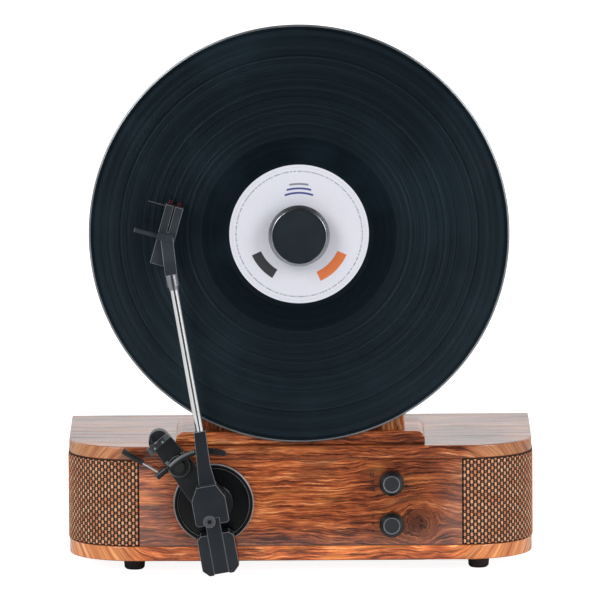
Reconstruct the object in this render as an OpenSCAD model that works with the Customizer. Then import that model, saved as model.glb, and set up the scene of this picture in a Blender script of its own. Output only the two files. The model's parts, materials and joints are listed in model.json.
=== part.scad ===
// Upright record player: a wooden base with cloth-wrapped speaker corners carries a plinth,
// a back board with the belt drive, a record held by a push-on clamp, and a tonearm on its front.

/* [Base] */
// Overall width of the wooden base
base_w = 334; // [324:1:400]
// Overall depth of the wooden base
base_d = 166; // [156:1:220]
// Height of the wooden base above its feet
base_h = 83; // [82:1:110]
// Radius of the two front corners
corner_r = 50; // [48:1:56]
// Thickness of the top board
top_t = 9.5; // [6:0.5:14]
// Thickness of the bottom board
bottom_t = 10.8; // [8:0.1:14]
// Thickness of the front panel
panel_t = 10; // [8:0.5:14]
// Thickness of each side panel
side_t = 10; // [8:0.5:14]
// Thickness of the back panel
back_t = 6; // [4:0.5:10]
// Depth of the rebate behind the back panel
back_inset = 8; // [7:0.5:12]

/* [Speaker corners] */
// Thickness of the speaker cloth with its padding
cloth_t = 1.2; // [0.8:0.1:2]
// How far the cloth stands out from the boards
cloth_proud = 0.8; // [0.4:0.1:1.4]
// Dark line left open around the cloth
cloth_gap = 0.4; // [0.2:0.1:0.8]
// Flat strip of cloth between the front panel and the round corner
cloth_lap = 1; // [0.5:0.5:6]
// Length of cloth along each straight side
cloth_side = 25; // [15:1:40]
// Thickness of the curved frame under the cloth
grille_t = 3; // [2:0.5:4]
// Width of the two openings in that frame
window_w = 44; // [30:1:50]
// Rim of that frame above, between and below its openings
window_rim = 6; // [4:0.5:10]
// Outer diameter of each speaker
speaker_d = 56; // [50:1:60]
// Overall depth of a speaker behind its ring
speaker_depth = 28; // [24:1:36]
// Diameter of a speaker magnet
magnet_d = 36; // [28:1:40]
// Width of the slanted board that holds a speaker
baffle_w = 66; // [62:1:70]
// Thickness of that board
baffle_t = 6; // [4:0.5:8]
// Distance of its face from the centre of the corner
baffle_out = 11; // [8:0.5:13]

/* [Feet and screws] */
// Diameter of a rubber foot at its top
foot_d = 15.8; // [12:0.1:20]
// Height of a foot
foot_h = 9; // [7:0.5:14]
// Taper of a foot on its radius
foot_taper = 0.6; // [0:0.1:1]
// Distance of the feet from each side of the base
foot_side = 43; // [20:1:60]
// Distance of the feet from the front and the back of the base
foot_end = 25; // [15:1:40]
// Shift of all the feet to the right
foot_shift = 4; // [-4:0.5:4]
// Shank diameter of the wood screws
screw_d = 3; // [2:0.1:3.4]
// Head diameter of the wood screws
screw_head_d = 6; // [5:0.1:7]
// Head height of the wood screws
screw_head_h = 1.8; // [1:0.1:2]
// Length of a screw in the wood
screw_grip = 9; // [5:0.5:10]

/* [Plinth and back board] */
// Width of the plinth
plinth_w = 179; // [165:1:220]
// Height of the plinth
plinth_h = 9.7; // [8.5:0.1:14]
// Depth of the plinth
plinth_d = 72; // [68:1:90]
// Setback of the plinth from the front of the base
plinth_set = 6; // [5:0.5:9]
// Radius of the upper corners of the plinth
plinth_r = 6; // [3:0.5:8]
// Width of the back board, also the diameter of its arched top
board_w = 150; // [146:1:160]
// Thickness of the back board
board_t = 20; // [14:0.5:26]
// Depth of the slot in the plinth for the back board
tenon = 5; // [3:0.5:6]

/* [Turntable] */
// Diameter of the record
record_d = 301.6; // [290:0.1:305]
// Thickness of the record
record_t = 2; // [1.6:0.1:3]
// Setback of the record's face from the front of the base
record_set = 2; // [1:0.1:2.5]
// Air between the record and the top of the base
record_clear = 2.5; // [1.5:0.1:8]
// Diameter of the paper label
label_d = 100; // [90:1:104]
// Thickness of the paper label
label_t = 0.15; // [0.1:0.05:0.3]
// Diameter of the spindle
spindle_d = 7.2; // [6.5:0.1:8]
// Length of spindle in front of the record
nose = 11; // [8:0.5:12]
// Diameter of the rubber mat
mat_d = 138; // [120:1:140]
// Thickness of the rubber mat
mat_t = 1.5; // [1:0.1:2]
// Diameter of the platter
platter_d = 140; // [130:1:146]
// Thickness of the platter
platter_t = 3.5; // [3:0.1:5]
// Diameter of the drum that the belt runs on
drum_d = 72; // [60:1:76]
// Width of that drum
drum_t = 5; // [5:0.1:7]
// Air between the drum and the back board
drum_gap = 1; // [0.8:0.1:2]
// Outer diameter of the bearing bush
bush_d = 14; // [12:0.5:16]
// Flange diameter of the bearing bush
bush_flange_d = 22; // [18:1:26]
// Flange thickness of the bearing bush
bush_flange_t = 2; // [1.5:0.1:3]

/* [Record clamp] */
// Diameter of the clamp
clamp_d = 44; // [38:1:50]
// Height of the clamp
clamp_h = 15; // [13:0.5:18]
// Diameter of the clamp's flat face
clamp_face_d = 38; // [32:1:40]
// Height of the bevelled ring
ring_h = 5; // [4:0.5:6]

/* [Belt drive] */
// Diameter of the motor
motor_d = 30; // [24:1:32]
// Length of the motor
motor_h = 20; // [16:1:24]
// Distance of the motor axis below the spindle
motor_drop = 52; // [50:1:60]
// Diameter of the motor pulley
pulley_d = 12; // [8:0.5:14]
// Diameter of the motor shaft
shaft_d = 2; // [1.5:0.1:3]
// Thickness of the belt
belt_t = 1; // [0.6:0.1:1.5]
// Width of the belt
belt_w = 3.4; // [2.5:0.1:3.6]
// Width of the cover behind the back board
cover_w = 52; // [52:1:60]
// Depth of that cover
cover_d = 30; // [27:1:36]
// Wall of that cover
cover_t = 2; // [1.5:0.1:3]

/* [Tonearm] */
// Distance of the tonearm pivot left of the middle
arm_x = 62.5; // [55:0.5:70]
// Depth of the tonearm pivot below the top of the base
arm_drop = 40.7; // [38:0.1:42]
// Lean of the tonearm to the left
arm_lean = 9.8; // [5:0.1:14]
// Shift of the arm's body to the left of its tube
arm_shift = 2.35; // [1.5:0.05:3]
// Diameter of the round bezel
bezel_d = 58; // [54:1:64]
// Width of the bezel's raised lip
bezel_lip = 3.5; // [2:0.1:4]
// Height of that lip
bezel_h = 5; // [4:0.1:6]
// Height of the bezel's floor
bezel_floor = 3; // [2:0.1:3.5]
// Outer diameter of the bearing tube through the front panel
hub_d = 16; // [14:0.5:18]
// Diameter of the turret's shaft
post_d = 8; // [6:0.1:9]
// Diameter of the turret's disc
turret_d = 26; // [25:0.5:28]
// Thickness of the turret's disc
turret_t = 3.2; // [2.5:0.1:4]
// Diameter of the lift pin
pin_d = 3; // [2:0.1:3.5]
// Thickness of the arm's sleeve
sleeve_t = 9; // [8:0.1:10]
// Distance of the sleeve's end from the pivot
sleeve_end = 56; // [52:0.5:56.5]
// Width of the sleeve at its end
sleeve_w = 8.4; // [7.6:0.1:9]
// Width of the sleeve at the housing
sleeve_root_w = 10.2; // [9:0.1:12]
// Width of the pivot housing
housing_w = 24.2; // [23.5:0.1:28]
// Width of the housing's top edge
housing_top_w = 14.1; // [12:0.1:18]
// Reach of the housing above the pivot
housing_up = 17; // [14:0.5:20]
// Reach of the housing below the pivot
housing_down = 11; // [10.5:0.1:14]
// Reach of the housing in front of the arm's axis
housing_rise = 10; // [9.5:0.1:12]
// Wall of the housing's front
housing_wall = 2.5; // [1.5:0.1:3]
// Outer diameter of the arm tube
tube_d = 6; // [5:0.1:6.4]
// Wall of the arm tube
tube_wall = 0.5; // [0.3:0.1:1]
// Distance of the collar's lower end from the pivot
collar_at = 159.6; // [150:0.1:170]
// Length of the collar
collar_l = 11.2; // [9:0.1:14]
// Diameter of the collar
collar_d = 9.3; // [8:0.1:11]
// Width of the stub that carries the counterweight
stub_w = 10.5; // [8:0.1:12]
// Thickness of that stub
stub_t = 8; // [6:0.1:9]
// Reach of that stub below the pivot
stub_end = 47; // [42:0.5:48]
// Width of the counterweight
weight_w = 26.6; // [24:0.1:32]
// Length of the counterweight
weight_l = 29.5; // [24:0.1:30]
// Thickness of the counterweight
weight_t = 20.5; // [16:0.1:21]
// Distance of the counterweight from the pivot
weight_at = 18.3; // [17:0.1:20]
// Diameter of the stub screw's head
stub_screw_d = 8.4; // [6:0.1:10]
// Height of the stub screw's head
stub_screw_h = 2; // [1.5:0.1:3]

/* [Headshell] */
// Length of the headshell
shell_l = 43.7; // [40:0.1:48]
// Width of the headshell
shell_w = 12.8; // [11:0.1:16]
// Thickness of the headshell
shell_t = 9; // [7:0.1:9.5]
// Turn of the headshell to the right of the arm
shell_turn = 25.3; // [15:0.1:28]
// Distance of the headshell's middle from the collar
shell_out = 27.85; // [25:0.05:32]
// Width of the headshell's neck
neck_w = 8.6; // [7.5:0.1:10]
// Length of the cartridge
cart_l = 18; // [14:0.5:20]
// Width of the cartridge
cart_w = 10; // [8:0.1:11]
// Height of the cartridge
cart_h = 8; // [6:0.1:8.4]
// Length of the finger lift
lift_l = 17; // [12:0.5:22]
// Diameter of the finger lift
lift_d = 3.3; // [2.5:0.1:4]

/* [Arm rest and cueing] */
// Lean of the arm rest to the left
rest_lean = 39; // [36:0.5:42]
// Distance of the rest's rounded end from the pivot
rest_at = 61.5; // [61:0.5:66]
// Width of the rest at its end
rest_w = 14.8; // [13:0.1:17]
// Thickness of the rest plate
rest_t = 4; // [3.4:0.1:5]
// Thickness of the swing latch
latch_t = 2; // [1.5:0.1:2.5]
// Diameter of the cueing boss
boss_d = 15.6; // [14:0.1:16.4]
// Height of the cueing boss above the rest plate
boss_h = 3.5; // [3:0.1:4.5]
// Radius of the curved lifter bar
lifter_r = 36.4; // [35.5:0.1:37]
// Width of the lifter bar
lifter_w = 4; // [3:0.1:4.6]
// Thickness of the lifter bar
lifter_t = 3.4; // [3:0.1:4]
// Diameter of the cue lever's hub
lever_hub_d = 5; // [4.2:0.1:6]
// Diameter of the cue lever's rod
rod_d = 1.8; // [1.4:0.1:2.2]
// Diameter of the cue lever's grip
grip_d = 4; // [3:0.1:5]

/* [Knobs and sockets] */
// Distance of the knobs right of the middle
knob_x = 65.3; // [50:0.1:80]
// Depth of the upper knob below the top of the base
speed_drop = 26.4; // [22:0.1:28]
// Depth of the lower knob below the top of the base
source_drop = 56.5; // [54:0.1:60]
// Diameter of a knob
knob_d = 17.8; // [14:0.1:22]
// Height of a knob
knob_h = 12; // [9:0.1:16]
// Diameter of a knob's stem
stem_d = 6; // [4:0.1:7]
// Outer diameter of a switch bushing
bushing_d = 9; // [8.5:0.1:12]
// Width of a switch body
switch_w = 20; // [16:0.5:24]
// Depth of a switch body
switch_d = 12; // [9:0.5:16]
// Distance of the socket plate right of the middle
jack_x = 80; // [50:1:100]
// Width of the socket plate
jack_plate_w = 84; // [80:1:100]
// Height of the socket plate
jack_plate_h = 34; // [30:1:40]
// Thickness of the socket plate
jack_plate_t = 2; // [1:0.1:3]
// Diameter of a phono socket
rca_d = 8.3; // [8.2:0.05:8.4]
// Distance between the two phono sockets
rca_pitch = 14; // [12:0.5:18]
// Length of a phono socket outside the plate
rca_l = 5; // [3:0.1:6]
// Thickness of the circuit board
pcb_t = 1.6; // [1:0.1:2.4]

/* [Clearances] */
// Air between faces that move past each other
running = 0.3; // [0.2:0.05:0.6]
// Radial air of a turning shaft in its bore
shaft_fit = 0.05; // [0.02:0.01:0.1]
// Air between the counterweight and its stub
slide_fit = 0.1; // [0.05:0.01:0.2]
// Radial air of a screw in its clearance hole
screw_fit = 0.2; // [0.1:0.05:0.4]

/* [Hidden] */
$fn = 96;

// Heights of the base
base_top = foot_h + base_h;
panel_low = foot_h + bottom_t;
panel_high = base_top - top_t;
panel_h = panel_high - panel_low;
panel_mid = (panel_low + panel_high) / 2;
plinth_top = base_top + plinth_h;
spindle_z = base_top + record_clear + record_d / 2;
motor_z = spindle_z - motor_drop;
arm_z = base_top - arm_drop;

// Plan of the base
half_w = base_w / 2;
arc_x = half_w - corner_r;
panel_half = arc_x - cloth_lap;
cloth_end = corner_r + cloth_side;
back_at = base_d - back_inset;

// Depths, counted towards the viewer from the front face of the base
record_face = -record_set;
record_rear = record_face - record_t;
mat_rear = record_rear - mat_t;
platter_rear = mat_rear - platter_t;
drum_rear = platter_rear - drum_t;
board_face = drum_rear - drum_gap;
board_rear = board_face - board_t;
bush_rear = board_rear - bush_flange_t;
plinth_face = -plinth_set;
nose_end = record_face + nose;
clamp_front = record_face + clamp_h;
rest_top = bezel_h + rest_t;
boss_top = rest_top + boss_h;
lifter_low = boss_top + running;
lifter_top = lifter_low + lifter_t;
arm_w = lifter_top + running + sleeve_t / 2;
housing_low = rest_top + 3;
housing_top = arm_w + housing_rise;
turret_low = bezel_floor + running;
stub_low = arm_w + 1;
stub_top = stub_low + stub_t;
arm_reach = stub_top + stub_screw_h;
weight_top = stub_top - 0.5;
weight_low = weight_top - weight_t;
shell_at = collar_at + collar_l + shell_out;
shell_top = arm_w;
shell_low = shell_top - shell_t;
cart_low = shell_low - cart_h;
latch_low = arm_w + tube_d / 2 + 4;
cradle_top = arm_w - tube_d / 2 - running;

// The base is set back so that the whole object is centred on the origin
front_y = (arm_reach - base_d) / 2;

// Small shapes
record_edge = 0.7;
record_bevel = 1.2;
foot_round = 1.5;
ear_t = 2.5;
ear_r = 5;
ear_out = 3.5;
motor_hole_d = 8;
flange_h = 24;
flange_t = 1.5;
flange_pitch = motor_d + screw_head_d + 1;
flange_w = flange_pitch + screw_head_d + 1;
clip_t = 1.5;
clip_d = 14;
ear_in = 7;
ear_w = 2.2;
ear_l = 8;
ear_over = 3.4;
pocket_l = 5.6;
stub_screw_x = -2;
stub_screw_y = -8.7;
housing_shoulder = 7.6;
housing_chamfer = 1.6;
weight_chamfer = 3;
weight_chamfer_end = 4.4;
tube_in = 12;
rib_l = 14;
collar_step = 2.4;
shell_slot_w = 1.2;
shell_slot_l = 19;
shell_x = 1.75;
needle_y = 15;
needle_r = 0.5;
holder_t = 2.4;
holder_inset = 1;
holder_from = 6;
prong_w = 2.6;
lever_wire_d = 0.8;
lever_wire_l = 14;
lever_wire_w = 4;
rest_root_left = 11.5;
rest_root_right = 8.5;
rest_root_lean = 27.5;
rest_kink = 16;
rest_clear = turret_d / 2 + running;
rest_horn = (rest_clear - rest_root_left * sin(rest_root_lean)) / cos(rest_root_lean);
rest_root = (rest_clear + rest_root_right * sin(rest_root_lean)) / cos(rest_root_lean);
pad_l = 3.5;
cradle_low = 58;
cradle_wall = 4;
latch_w = 4;
latch_pin_d = 2;
latch_tip = 8.9;
latch_tab = 10;
boss_x = -1.2;
boss_y = 37.4;
lifter_y = 5.4;
lifter_pad_r = 4.2;
lifter_pad_drop = 0.6;
lifter_pad_top = lifter_top - lifter_pad_drop;
lifter_stem_d = 4;
lifter_stem_rise = 1;
lifter_left_turn = -8.5;
lifter_right_turn = 57.6;
lever_y = 41.4;
lever_w = 8.75;
lever_in = 3;
lever_shaft_d = 3;
shaft_room = lever_shaft_d + 2 * running;
lever_hub_l = 9.1;
lever_lean = 19.6;
rod_at = 15;
rod_l = 15;
grip_l = 17;
stem_in = 14;
bushing_l = 9;
switch_bore = 1;
rca_flange_d = 10;
rca_neck_d = rca_d - 0.8;
rca_pin_d = 3;
rca_from = jack_plate_t + 0.4;
dc_x = 26;
dc_w = 9;
dc_h = 11;
dc_hole_d = 5.5;
dc_pin_d = 2;
opening_w = 66;
opening_h = 22;
pcb_w = 80;
pcb_h = 44;
pcb_edge = 10;
sink_w = 22;
sink_h = 24;
sink_d = 14;
can_d = 10;
can_h = 16;
can_pitch = 14;
can_rise = 8;
cover_ear_x = 20;
cover_ear_rise = 12;
cover_ears = [-cover_ear_x, -(spindle_z - plinth_top) + cover_ear_rise];
speaker_lip = 3;
vent_w = 24;
vent_h = 2.4;
vent_pitch = 6;
screw_inset = 15;
side_screw_x = half_w - side_t / 2;
front_screw_x = panel_half * 0.75;
joint_screws = [for (side = [-1, 1]) each [[side * front_screw_x, panel_t / 2],
    [side * side_screw_x, cloth_end + screw_inset], [side * side_screw_x, base_d - screw_inset]]];
foot_places = [for (x = [-1, 1], y = [foot_end, base_d - foot_end]) [x * (half_w - foot_side) + foot_shift, y]];
counterbore = 3;

// Local frames: x to the right, y up, z towards the viewer
module facing(x, z) {
    translate([x, front_y, z]) rotate([90, 0, 0]) children();
}
module on_spindle() { facing(0, spindle_z) children(); }
module on_motor() { facing(0, motor_z) children(); }
module on_arm() { facing(-arm_x, arm_z) rotate([0, 0, arm_lean]) children(); }
module on_rest() { facing(-arm_x, arm_z) rotate([0, 0, rest_lean]) children(); }
module on_shell() { on_arm() translate([shell_x, shell_at]) rotate([0, 0, -shell_turn]) children(); }
module in_corner() {
    translate([arc_x, front_y + corner_r, panel_mid]) rotate([0, 0, 45]) rotate([90, 0, 0]) children();
}
module slab(low, high) { translate([0, 0, low]) linear_extrude(height = high - low) children(); }
module along_y(from, to, d) {
    translate([0, from, 0]) rotate([-90, 0, 0]) cylinder(d = d, h = to - from);
}
module along_x(from, to, d) {
    translate([from, 0, 0]) rotate([0, 90, 0]) cylinder(d = d, h = to - from);
}
module left() { mirror([1, 0, 0]) children(); }

// Outline of the base seen from above, grown outwards by a given amount
module plan(grow) {
    translate([-arc_x, front_y - grow]) square([2 * arc_x, base_d + grow]);
    translate([-half_w - grow, front_y + corner_r]) square([2 * (half_w + grow), base_d - corner_r]);
    for (side = [-1, 1]) translate([side * arc_x, front_y + corner_r]) circle(r = corner_r + grow);
}
// Strip that follows the right front corner between two growths of the outline
module corner_strip(inner, outer, edge) {
    intersection() {
        difference() {
            plan(outer);
            plan(inner);
        }
        translate([panel_half + edge, front_y - cloth_t])
            square([corner_r + cloth_lap + cloth_t, cloth_end + cloth_t - edge]);
    }
}
module bottom_holes(d, low, high) {
    for (p = joint_screws) translate([p[0], front_y + p[1], low]) cylinder(d = d, h = high - low);
}
module foot_holes(d, low, high) {
    for (p = foot_places) translate([p[0], front_y + p[1], low]) cylinder(d = d, h = high - low);
}
module cover_holes(d, low, high) {
    on_spindle() for (x = [-1, 1], y = cover_ears) {
        translate([x * (cover_w / 2 + ear_out), y]) slab(low, high) circle(d = d);
    }
}
module flange_holes(d, low, high) {
    on_motor() for (x = [-1, 1]) translate([x * flange_pitch / 2, 0]) slab(low, high) circle(d = d);
}

module top_board() {
    color("sienna") translate([0, 0, panel_high]) linear_extrude(height = top_t) plan(0);
}
module bottom_board() {
    color("sienna") difference() {
        translate([0, 0, foot_h]) linear_extrude(height = bottom_t) plan(0);
        bottom_holes(screw_d + 2 * screw_fit, foot_h + counterbore, panel_low + 1);
        bottom_holes(screw_head_d + 1, foot_h - 1, foot_h + counterbore);
        foot_holes(screw_d, foot_h - 1, foot_h + screw_grip);
    }
}
module front_panel() {
    color("chocolate") difference() {
        translate([-panel_half, front_y, panel_low]) cube([2 * panel_half, panel_t, panel_h]);
        facing(-arm_x, arm_z) slab(-panel_t - 1, 1) circle(d = hub_d);
        for (drop = [speed_drop, source_drop]) {
            facing(knob_x, base_top - drop) slab(-panel_t - 1, 1) circle(d = bushing_d);
        }
        bottom_holes(screw_d, panel_low - 1, panel_low + screw_grip);
    }
}
module side_panel() {
    difference() {
        translate([half_w - side_t, front_y + cloth_end, panel_low])
            cube([side_t, base_d - cloth_end, panel_h]);
        bottom_holes(screw_d, panel_low - 1, panel_low + screw_grip);
    }
}
module left_side_panel() { color("sienna") left() side_panel(); }
module right_side_panel() { color("sienna") side_panel(); }
module back_panel() {
    color("saddlebrown") difference() {
        translate([side_t - half_w, front_y + back_at - back_t, panel_low])
            cube([base_w - 2 * side_t, back_t, panel_h]);
        translate([jack_x - opening_w / 2, front_y + back_at - back_t - 1, panel_mid - opening_h / 2])
            cube([opening_w, back_t + 2, opening_h]);
    }
}
module plinth() {
    color("chocolate") difference() {
        facing(0, base_top) slab(plinth_face - plinth_d, plinth_face) intersection() {
            translate([-plinth_w / 2, 0]) square([plinth_w, plinth_h]);
            union() {
                translate([-plinth_w / 2, 0]) square([plinth_w, plinth_h - plinth_r]);
                translate([plinth_r - plinth_w / 2, 0]) square([plinth_w - 2 * plinth_r, plinth_h]);
                for (side = [-1, 1]) {
                    translate([side * (plinth_w / 2 - plinth_r), plinth_h - plinth_r]) circle(r = plinth_r);
                }
            }
        }
        facing(0, plinth_top) slab(board_rear, board_face) {
            translate([-board_w / 2, -tenon]) square([board_w, tenon + 1]);
        }
    }
}
module back_board() {
    board_drop = spindle_z - plinth_top + tenon;
    color("sienna") difference() {
        on_spindle() slab(board_rear, board_face) {
            circle(d = board_w);
            translate([-board_w / 2, -board_drop]) square([board_w, board_drop]);
        }
        on_spindle() slab(board_rear - 1, board_face + 1) circle(d = bush_d);
        on_motor() slab(board_rear - 1, board_face + 1) circle(d = motor_hole_d);
        cover_holes(screw_d, board_rear - 1, board_rear + screw_grip);
        flange_holes(screw_d, board_rear - 1, board_rear + screw_grip);
    }
}

window_h = (panel_h - 3 * window_rim) / 2;
module grille_frame() {
    difference() {
        translate([0, 0, panel_low]) linear_extrude(height = panel_h) {
            corner_strip(cloth_proud - cloth_t - grille_t, cloth_proud - cloth_t, 0);
        }
        in_corner() for (low = [-window_h - window_rim / 2, window_rim / 2]) {
            translate([-window_w / 2, low, 0]) cube([window_w, window_h, corner_r + cloth_t]);
        }
    }
}
module left_grille_frame() { color("dimgray") left() grille_frame(); }
module right_grille_frame() { color("dimgray") grille_frame(); }
module grille_cloth() {
    translate([0, 0, panel_low + cloth_gap]) linear_extrude(height = panel_h - 2 * cloth_gap) {
        corner_strip(cloth_proud - cloth_t, cloth_proud, cloth_gap);
    }
}
module left_grille_cloth() { color("peru") left() grille_cloth(); }
module right_grille_cloth() { color("peru") grille_cloth(); }
module speaker_baffle() {
    in_corner() slab(baffle_out - baffle_t, baffle_out) difference() {
        square([baffle_w, panel_h], center = true);
        circle(d = speaker_d - 2 * speaker_lip);
    }
}
module speaker_baffles() {
    color("burlywood") {
        speaker_baffle();
        left() speaker_baffle();
    }
}
ring_t = 2.5;
ring_w = 6;
coil_inset = 7;
ring_r = speaker_d / 2;
rim_r = ring_r - ring_w;
coil_r = magnet_d / 2 - coil_inset;
basket_low = baffle_out - speaker_depth / 2;
module speaker() {
    in_corner() rotate_extrude() polygon([[ring_r, baffle_out], [ring_r, baffle_out + ring_t],
        [rim_r, baffle_out + ring_t], [coil_r, basket_low], [0, basket_low],
        [0, baffle_out - speaker_depth], [magnet_d / 2, baffle_out - speaker_depth],
        [magnet_d / 2, basket_low - ring_t], [coil_r + 2, basket_low - ring_t], [rim_r + 1, baffle_out]]);
}
module left_speaker() { color("gray") left() speaker(); }
module right_speaker() { color("gray") speaker(); }
module speaker_cone() {
    sheet = 0.6;
    edge = baffle_out + ring_t;
    in_corner() rotate_extrude() polygon([[0, basket_low + 3], [coil_r - 1, basket_low + 1],
        [rim_r - 1.2, edge], [ring_r - 3, edge], [ring_r - 3, edge + sheet], [rim_r - 2, edge + sheet],
        [coil_r - 1.6, basket_low + 2], [0, basket_low + 4]]);
}
module speaker_cones() {
    color("black") {
        speaker_cone();
        left() speaker_cone();
    }
}

module socket_wall(depth) {
    translate([jack_x, front_y + depth, panel_mid]) rotate([-90, 0, 0]) children();
}
module jack_plate() {
    color("black") socket_wall(back_at) difference() {
        linear_extrude(height = jack_plate_t) square([jack_plate_w, jack_plate_h], center = true);
        for (side = [-1, 1]) translate([side * rca_pitch / 2, 0, -1]) {
            cylinder(d = rca_neck_d, h = jack_plate_t + 2);
        }
        translate([dc_x - dc_w / 2, -dc_h / 2, -1]) cube([dc_w, dc_h, jack_plate_t + 2]);
    }
}
module rca_jacks() {
    color("goldenrod") socket_wall(back_at) for (side = [-1, 1]) translate([side * rca_pitch / 2, 0, 0]) {
        difference() {
            union() {
                cylinder(d = rca_neck_d, h = rca_from + 1);
                translate([0, 0, rca_from]) cylinder(d = rca_d, h = rca_l);
            }
            translate([0, 0, jack_plate_t]) cylinder(d = rca_d - 2, h = rca_l + 1);
        }
        cylinder(d = rca_pin_d, h = rca_from + rca_l - 1);
        translate([0, 0, -back_t]) cylinder(d = rca_flange_d, h = back_t);
    }
}
module dc_jack() {
    color("dimgray") socket_wall(back_at) translate([dc_x, 0, 0]) {
        difference() {
            translate([-dc_w / 2, -dc_h / 2, -back_t]) cube([dc_w, dc_h, back_t + jack_plate_t]);
            translate([0, 0, -back_t + 1]) cylinder(d = dc_hole_d, h = back_t + jack_plate_t);
        }
        translate([0, 0, -back_t + 1]) cylinder(d = dc_pin_d, h = back_t);
    }
}
module circuit_board() {
    color("darkgreen") socket_wall(back_at - back_t) {
        translate([-pcb_w / 2, -pcb_h / 2, -pcb_t]) cube([pcb_w, pcb_h, pcb_t]);
        translate([-pcb_w / 2 + pcb_edge, -sink_h / 2, -pcb_t - sink_d]) cube([sink_w, sink_h, sink_d]);
        for (i = [0 : 2]) translate([i * can_pitch, can_rise, -pcb_t - can_h]) cylinder(d = can_d, h = can_h);
    }
}

module feet() {
    color("black") for (p = foot_places) translate([p[0], front_y + p[1], 0]) difference() {
        rotate_extrude() {
            polygon([[0, 0], [foot_d / 2 - foot_taper - foot_round, 0], [foot_d / 2 - foot_taper, foot_round],
                [foot_d / 2, foot_h], [0, foot_h]]);
        }
        translate([0, 0, -1]) cylinder(d = screw_head_d + 1, h = counterbore + screw_head_h + 1);
        cylinder(d = screw_d, h = foot_h + 1);
    }
}
module wood_screws() {
    color("dimgray") {
        bottom_holes(screw_head_d, foot_h + counterbore - screw_head_h, foot_h + counterbore);
        bottom_holes(screw_d, foot_h + counterbore - screw_head_h, panel_low + screw_grip);
        foot_holes(screw_head_d, counterbore, counterbore + screw_head_h);
        foot_holes(screw_d, counterbore, foot_h + screw_grip);
        cover_holes(screw_head_d, board_rear - ear_t - screw_head_h, board_rear - ear_t);
        cover_holes(screw_d, board_rear - ear_t - screw_head_h, board_rear + screw_grip);
        flange_holes(screw_head_d, board_rear - flange_t - screw_head_h, board_rear - flange_t);
        flange_holes(screw_d, board_rear - flange_t - screw_head_h, board_rear + screw_grip);
    }
}
module selector_switch(drop) {
    facing(knob_x, base_top - drop) difference() {
        union() {
            slab(-panel_t, bushing_l - panel_t) circle(d = bushing_d);
            slab(-panel_t - switch_d, -panel_t) square(switch_w, center = true);
        }
        slab(-stem_in - switch_bore, 1) circle(d = stem_d + 2 * shaft_fit);
    }
}
module selector_switches() {
    color("dimgray") for (drop = [speed_drop, source_drop]) selector_switch(drop);
}
module knob(drop) {
    r = knob_d / 2;
    low = running;
    high = low + knob_h;
    facing(knob_x, base_top - drop) rotate_extrude() {
        polygon([[0, -stem_in], [stem_d / 2, -stem_in], [stem_d / 2, low], [r, low], [r, high - 3.5],
            [r - 0.3, high - 2], [r - 1.7, high], [r - 2, high], [r - 2.2, high - 0.4], [0, high - 0.4]]);
    }
}
module speed_knob() { color("black") knob(speed_drop); }
module source_knob() { color("black") knob(source_drop); }

module bearing_bush() {
    bore = spindle_d / 2 + shaft_fit;
    color("goldenrod") on_spindle() rotate_extrude() {
        polygon([[bore, bush_rear], [bush_flange_d / 2, bush_rear], [bush_flange_d / 2, board_rear],
            [bush_d / 2, board_rear], [bush_d / 2, board_face], [bore, board_face]]);
    }
}
module spindle() {
    r = spindle_d / 2;
    stop = bush_rear - running;
    color("silver") on_spindle() rotate_extrude() {
        polygon([[0, stop - 3], [r, stop - 3], [r, stop - 2], [r + 2.4, stop - 2], [r + 2.4, stop],
            [r, stop], [r, nose_end - 1], [r - 1, nose_end], [0, nose_end]]);
    }
}
module drive_drum() {
    groove_rear = platter_rear - belt_w - 2 * running;
    color("dimgray") on_spindle() difference() {
        union() {
            slab(drum_rear, platter_rear) circle(d = drum_d);
            slab(drum_rear, groove_rear) circle(d = drum_d + 3);
            slab(board_face + running, drum_rear) circle(d = bush_d);
        }
        slab(board_face, platter_rear + 1) circle(d = spindle_d);
    }
}
module platter() {
    color("silver") on_spindle() slab(platter_rear, mat_rear) difference() {
        circle(d = platter_d);
        circle(d = spindle_d);
    }
}
module slip_mat() {
    color("black") on_spindle() slab(mat_rear, record_rear) difference() {
        circle(d = mat_d);
        circle(d = spindle_d);
    }
}
module record() {
    hole = spindle_d / 2;
    r = record_d / 2;
    color([0.06, 0.07, 0.09]) on_spindle() rotate_extrude() {
        polygon([[hole, record_rear + label_t], [label_d / 2, record_rear + label_t],
            [label_d / 2, record_rear], [r - record_bevel, record_rear], [r, record_rear + record_edge],
            [r, record_face - record_edge], [r - record_bevel, record_face], [label_d / 2, record_face],
            [label_d / 2, record_face - label_t], [hole, record_face - label_t]]);
    }
}
module record_label() {
    color("ivory") on_spindle() for (low = [record_rear, record_face - label_t]) {
        slab(low, low + label_t) difference() {
            circle(d = label_d);
            circle(d = spindle_d);
        }
    }
}
module record_clamp() {
    bore = spindle_d / 2 + shaft_fit;
    ring_low = clamp_front - ring_h;
    color([0.1, 0.1, 0.11]) on_spindle() rotate_extrude() {
        polygon([[bore, record_face], [clamp_d / 2 - 1, record_face], [clamp_d / 2 - 1, ring_low],
            [clamp_face_d / 2, ring_low], [clamp_face_d / 2, clamp_front - 0.6], [0, clamp_front - 0.6],
            [0, nose_end + running], [bore, nose_end + running]]);
    }
}
module clamp_ring() {
    ring_low = clamp_front - ring_h;
    color("silver") on_spindle() rotate_extrude() {
        polygon([[clamp_face_d / 2, ring_low], [clamp_d / 2, ring_low], [clamp_d / 2, ring_low + 1.5],
            [clamp_face_d / 2 + 0.5, clamp_front], [clamp_face_d / 2, clamp_front]]);
    }
}

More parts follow.
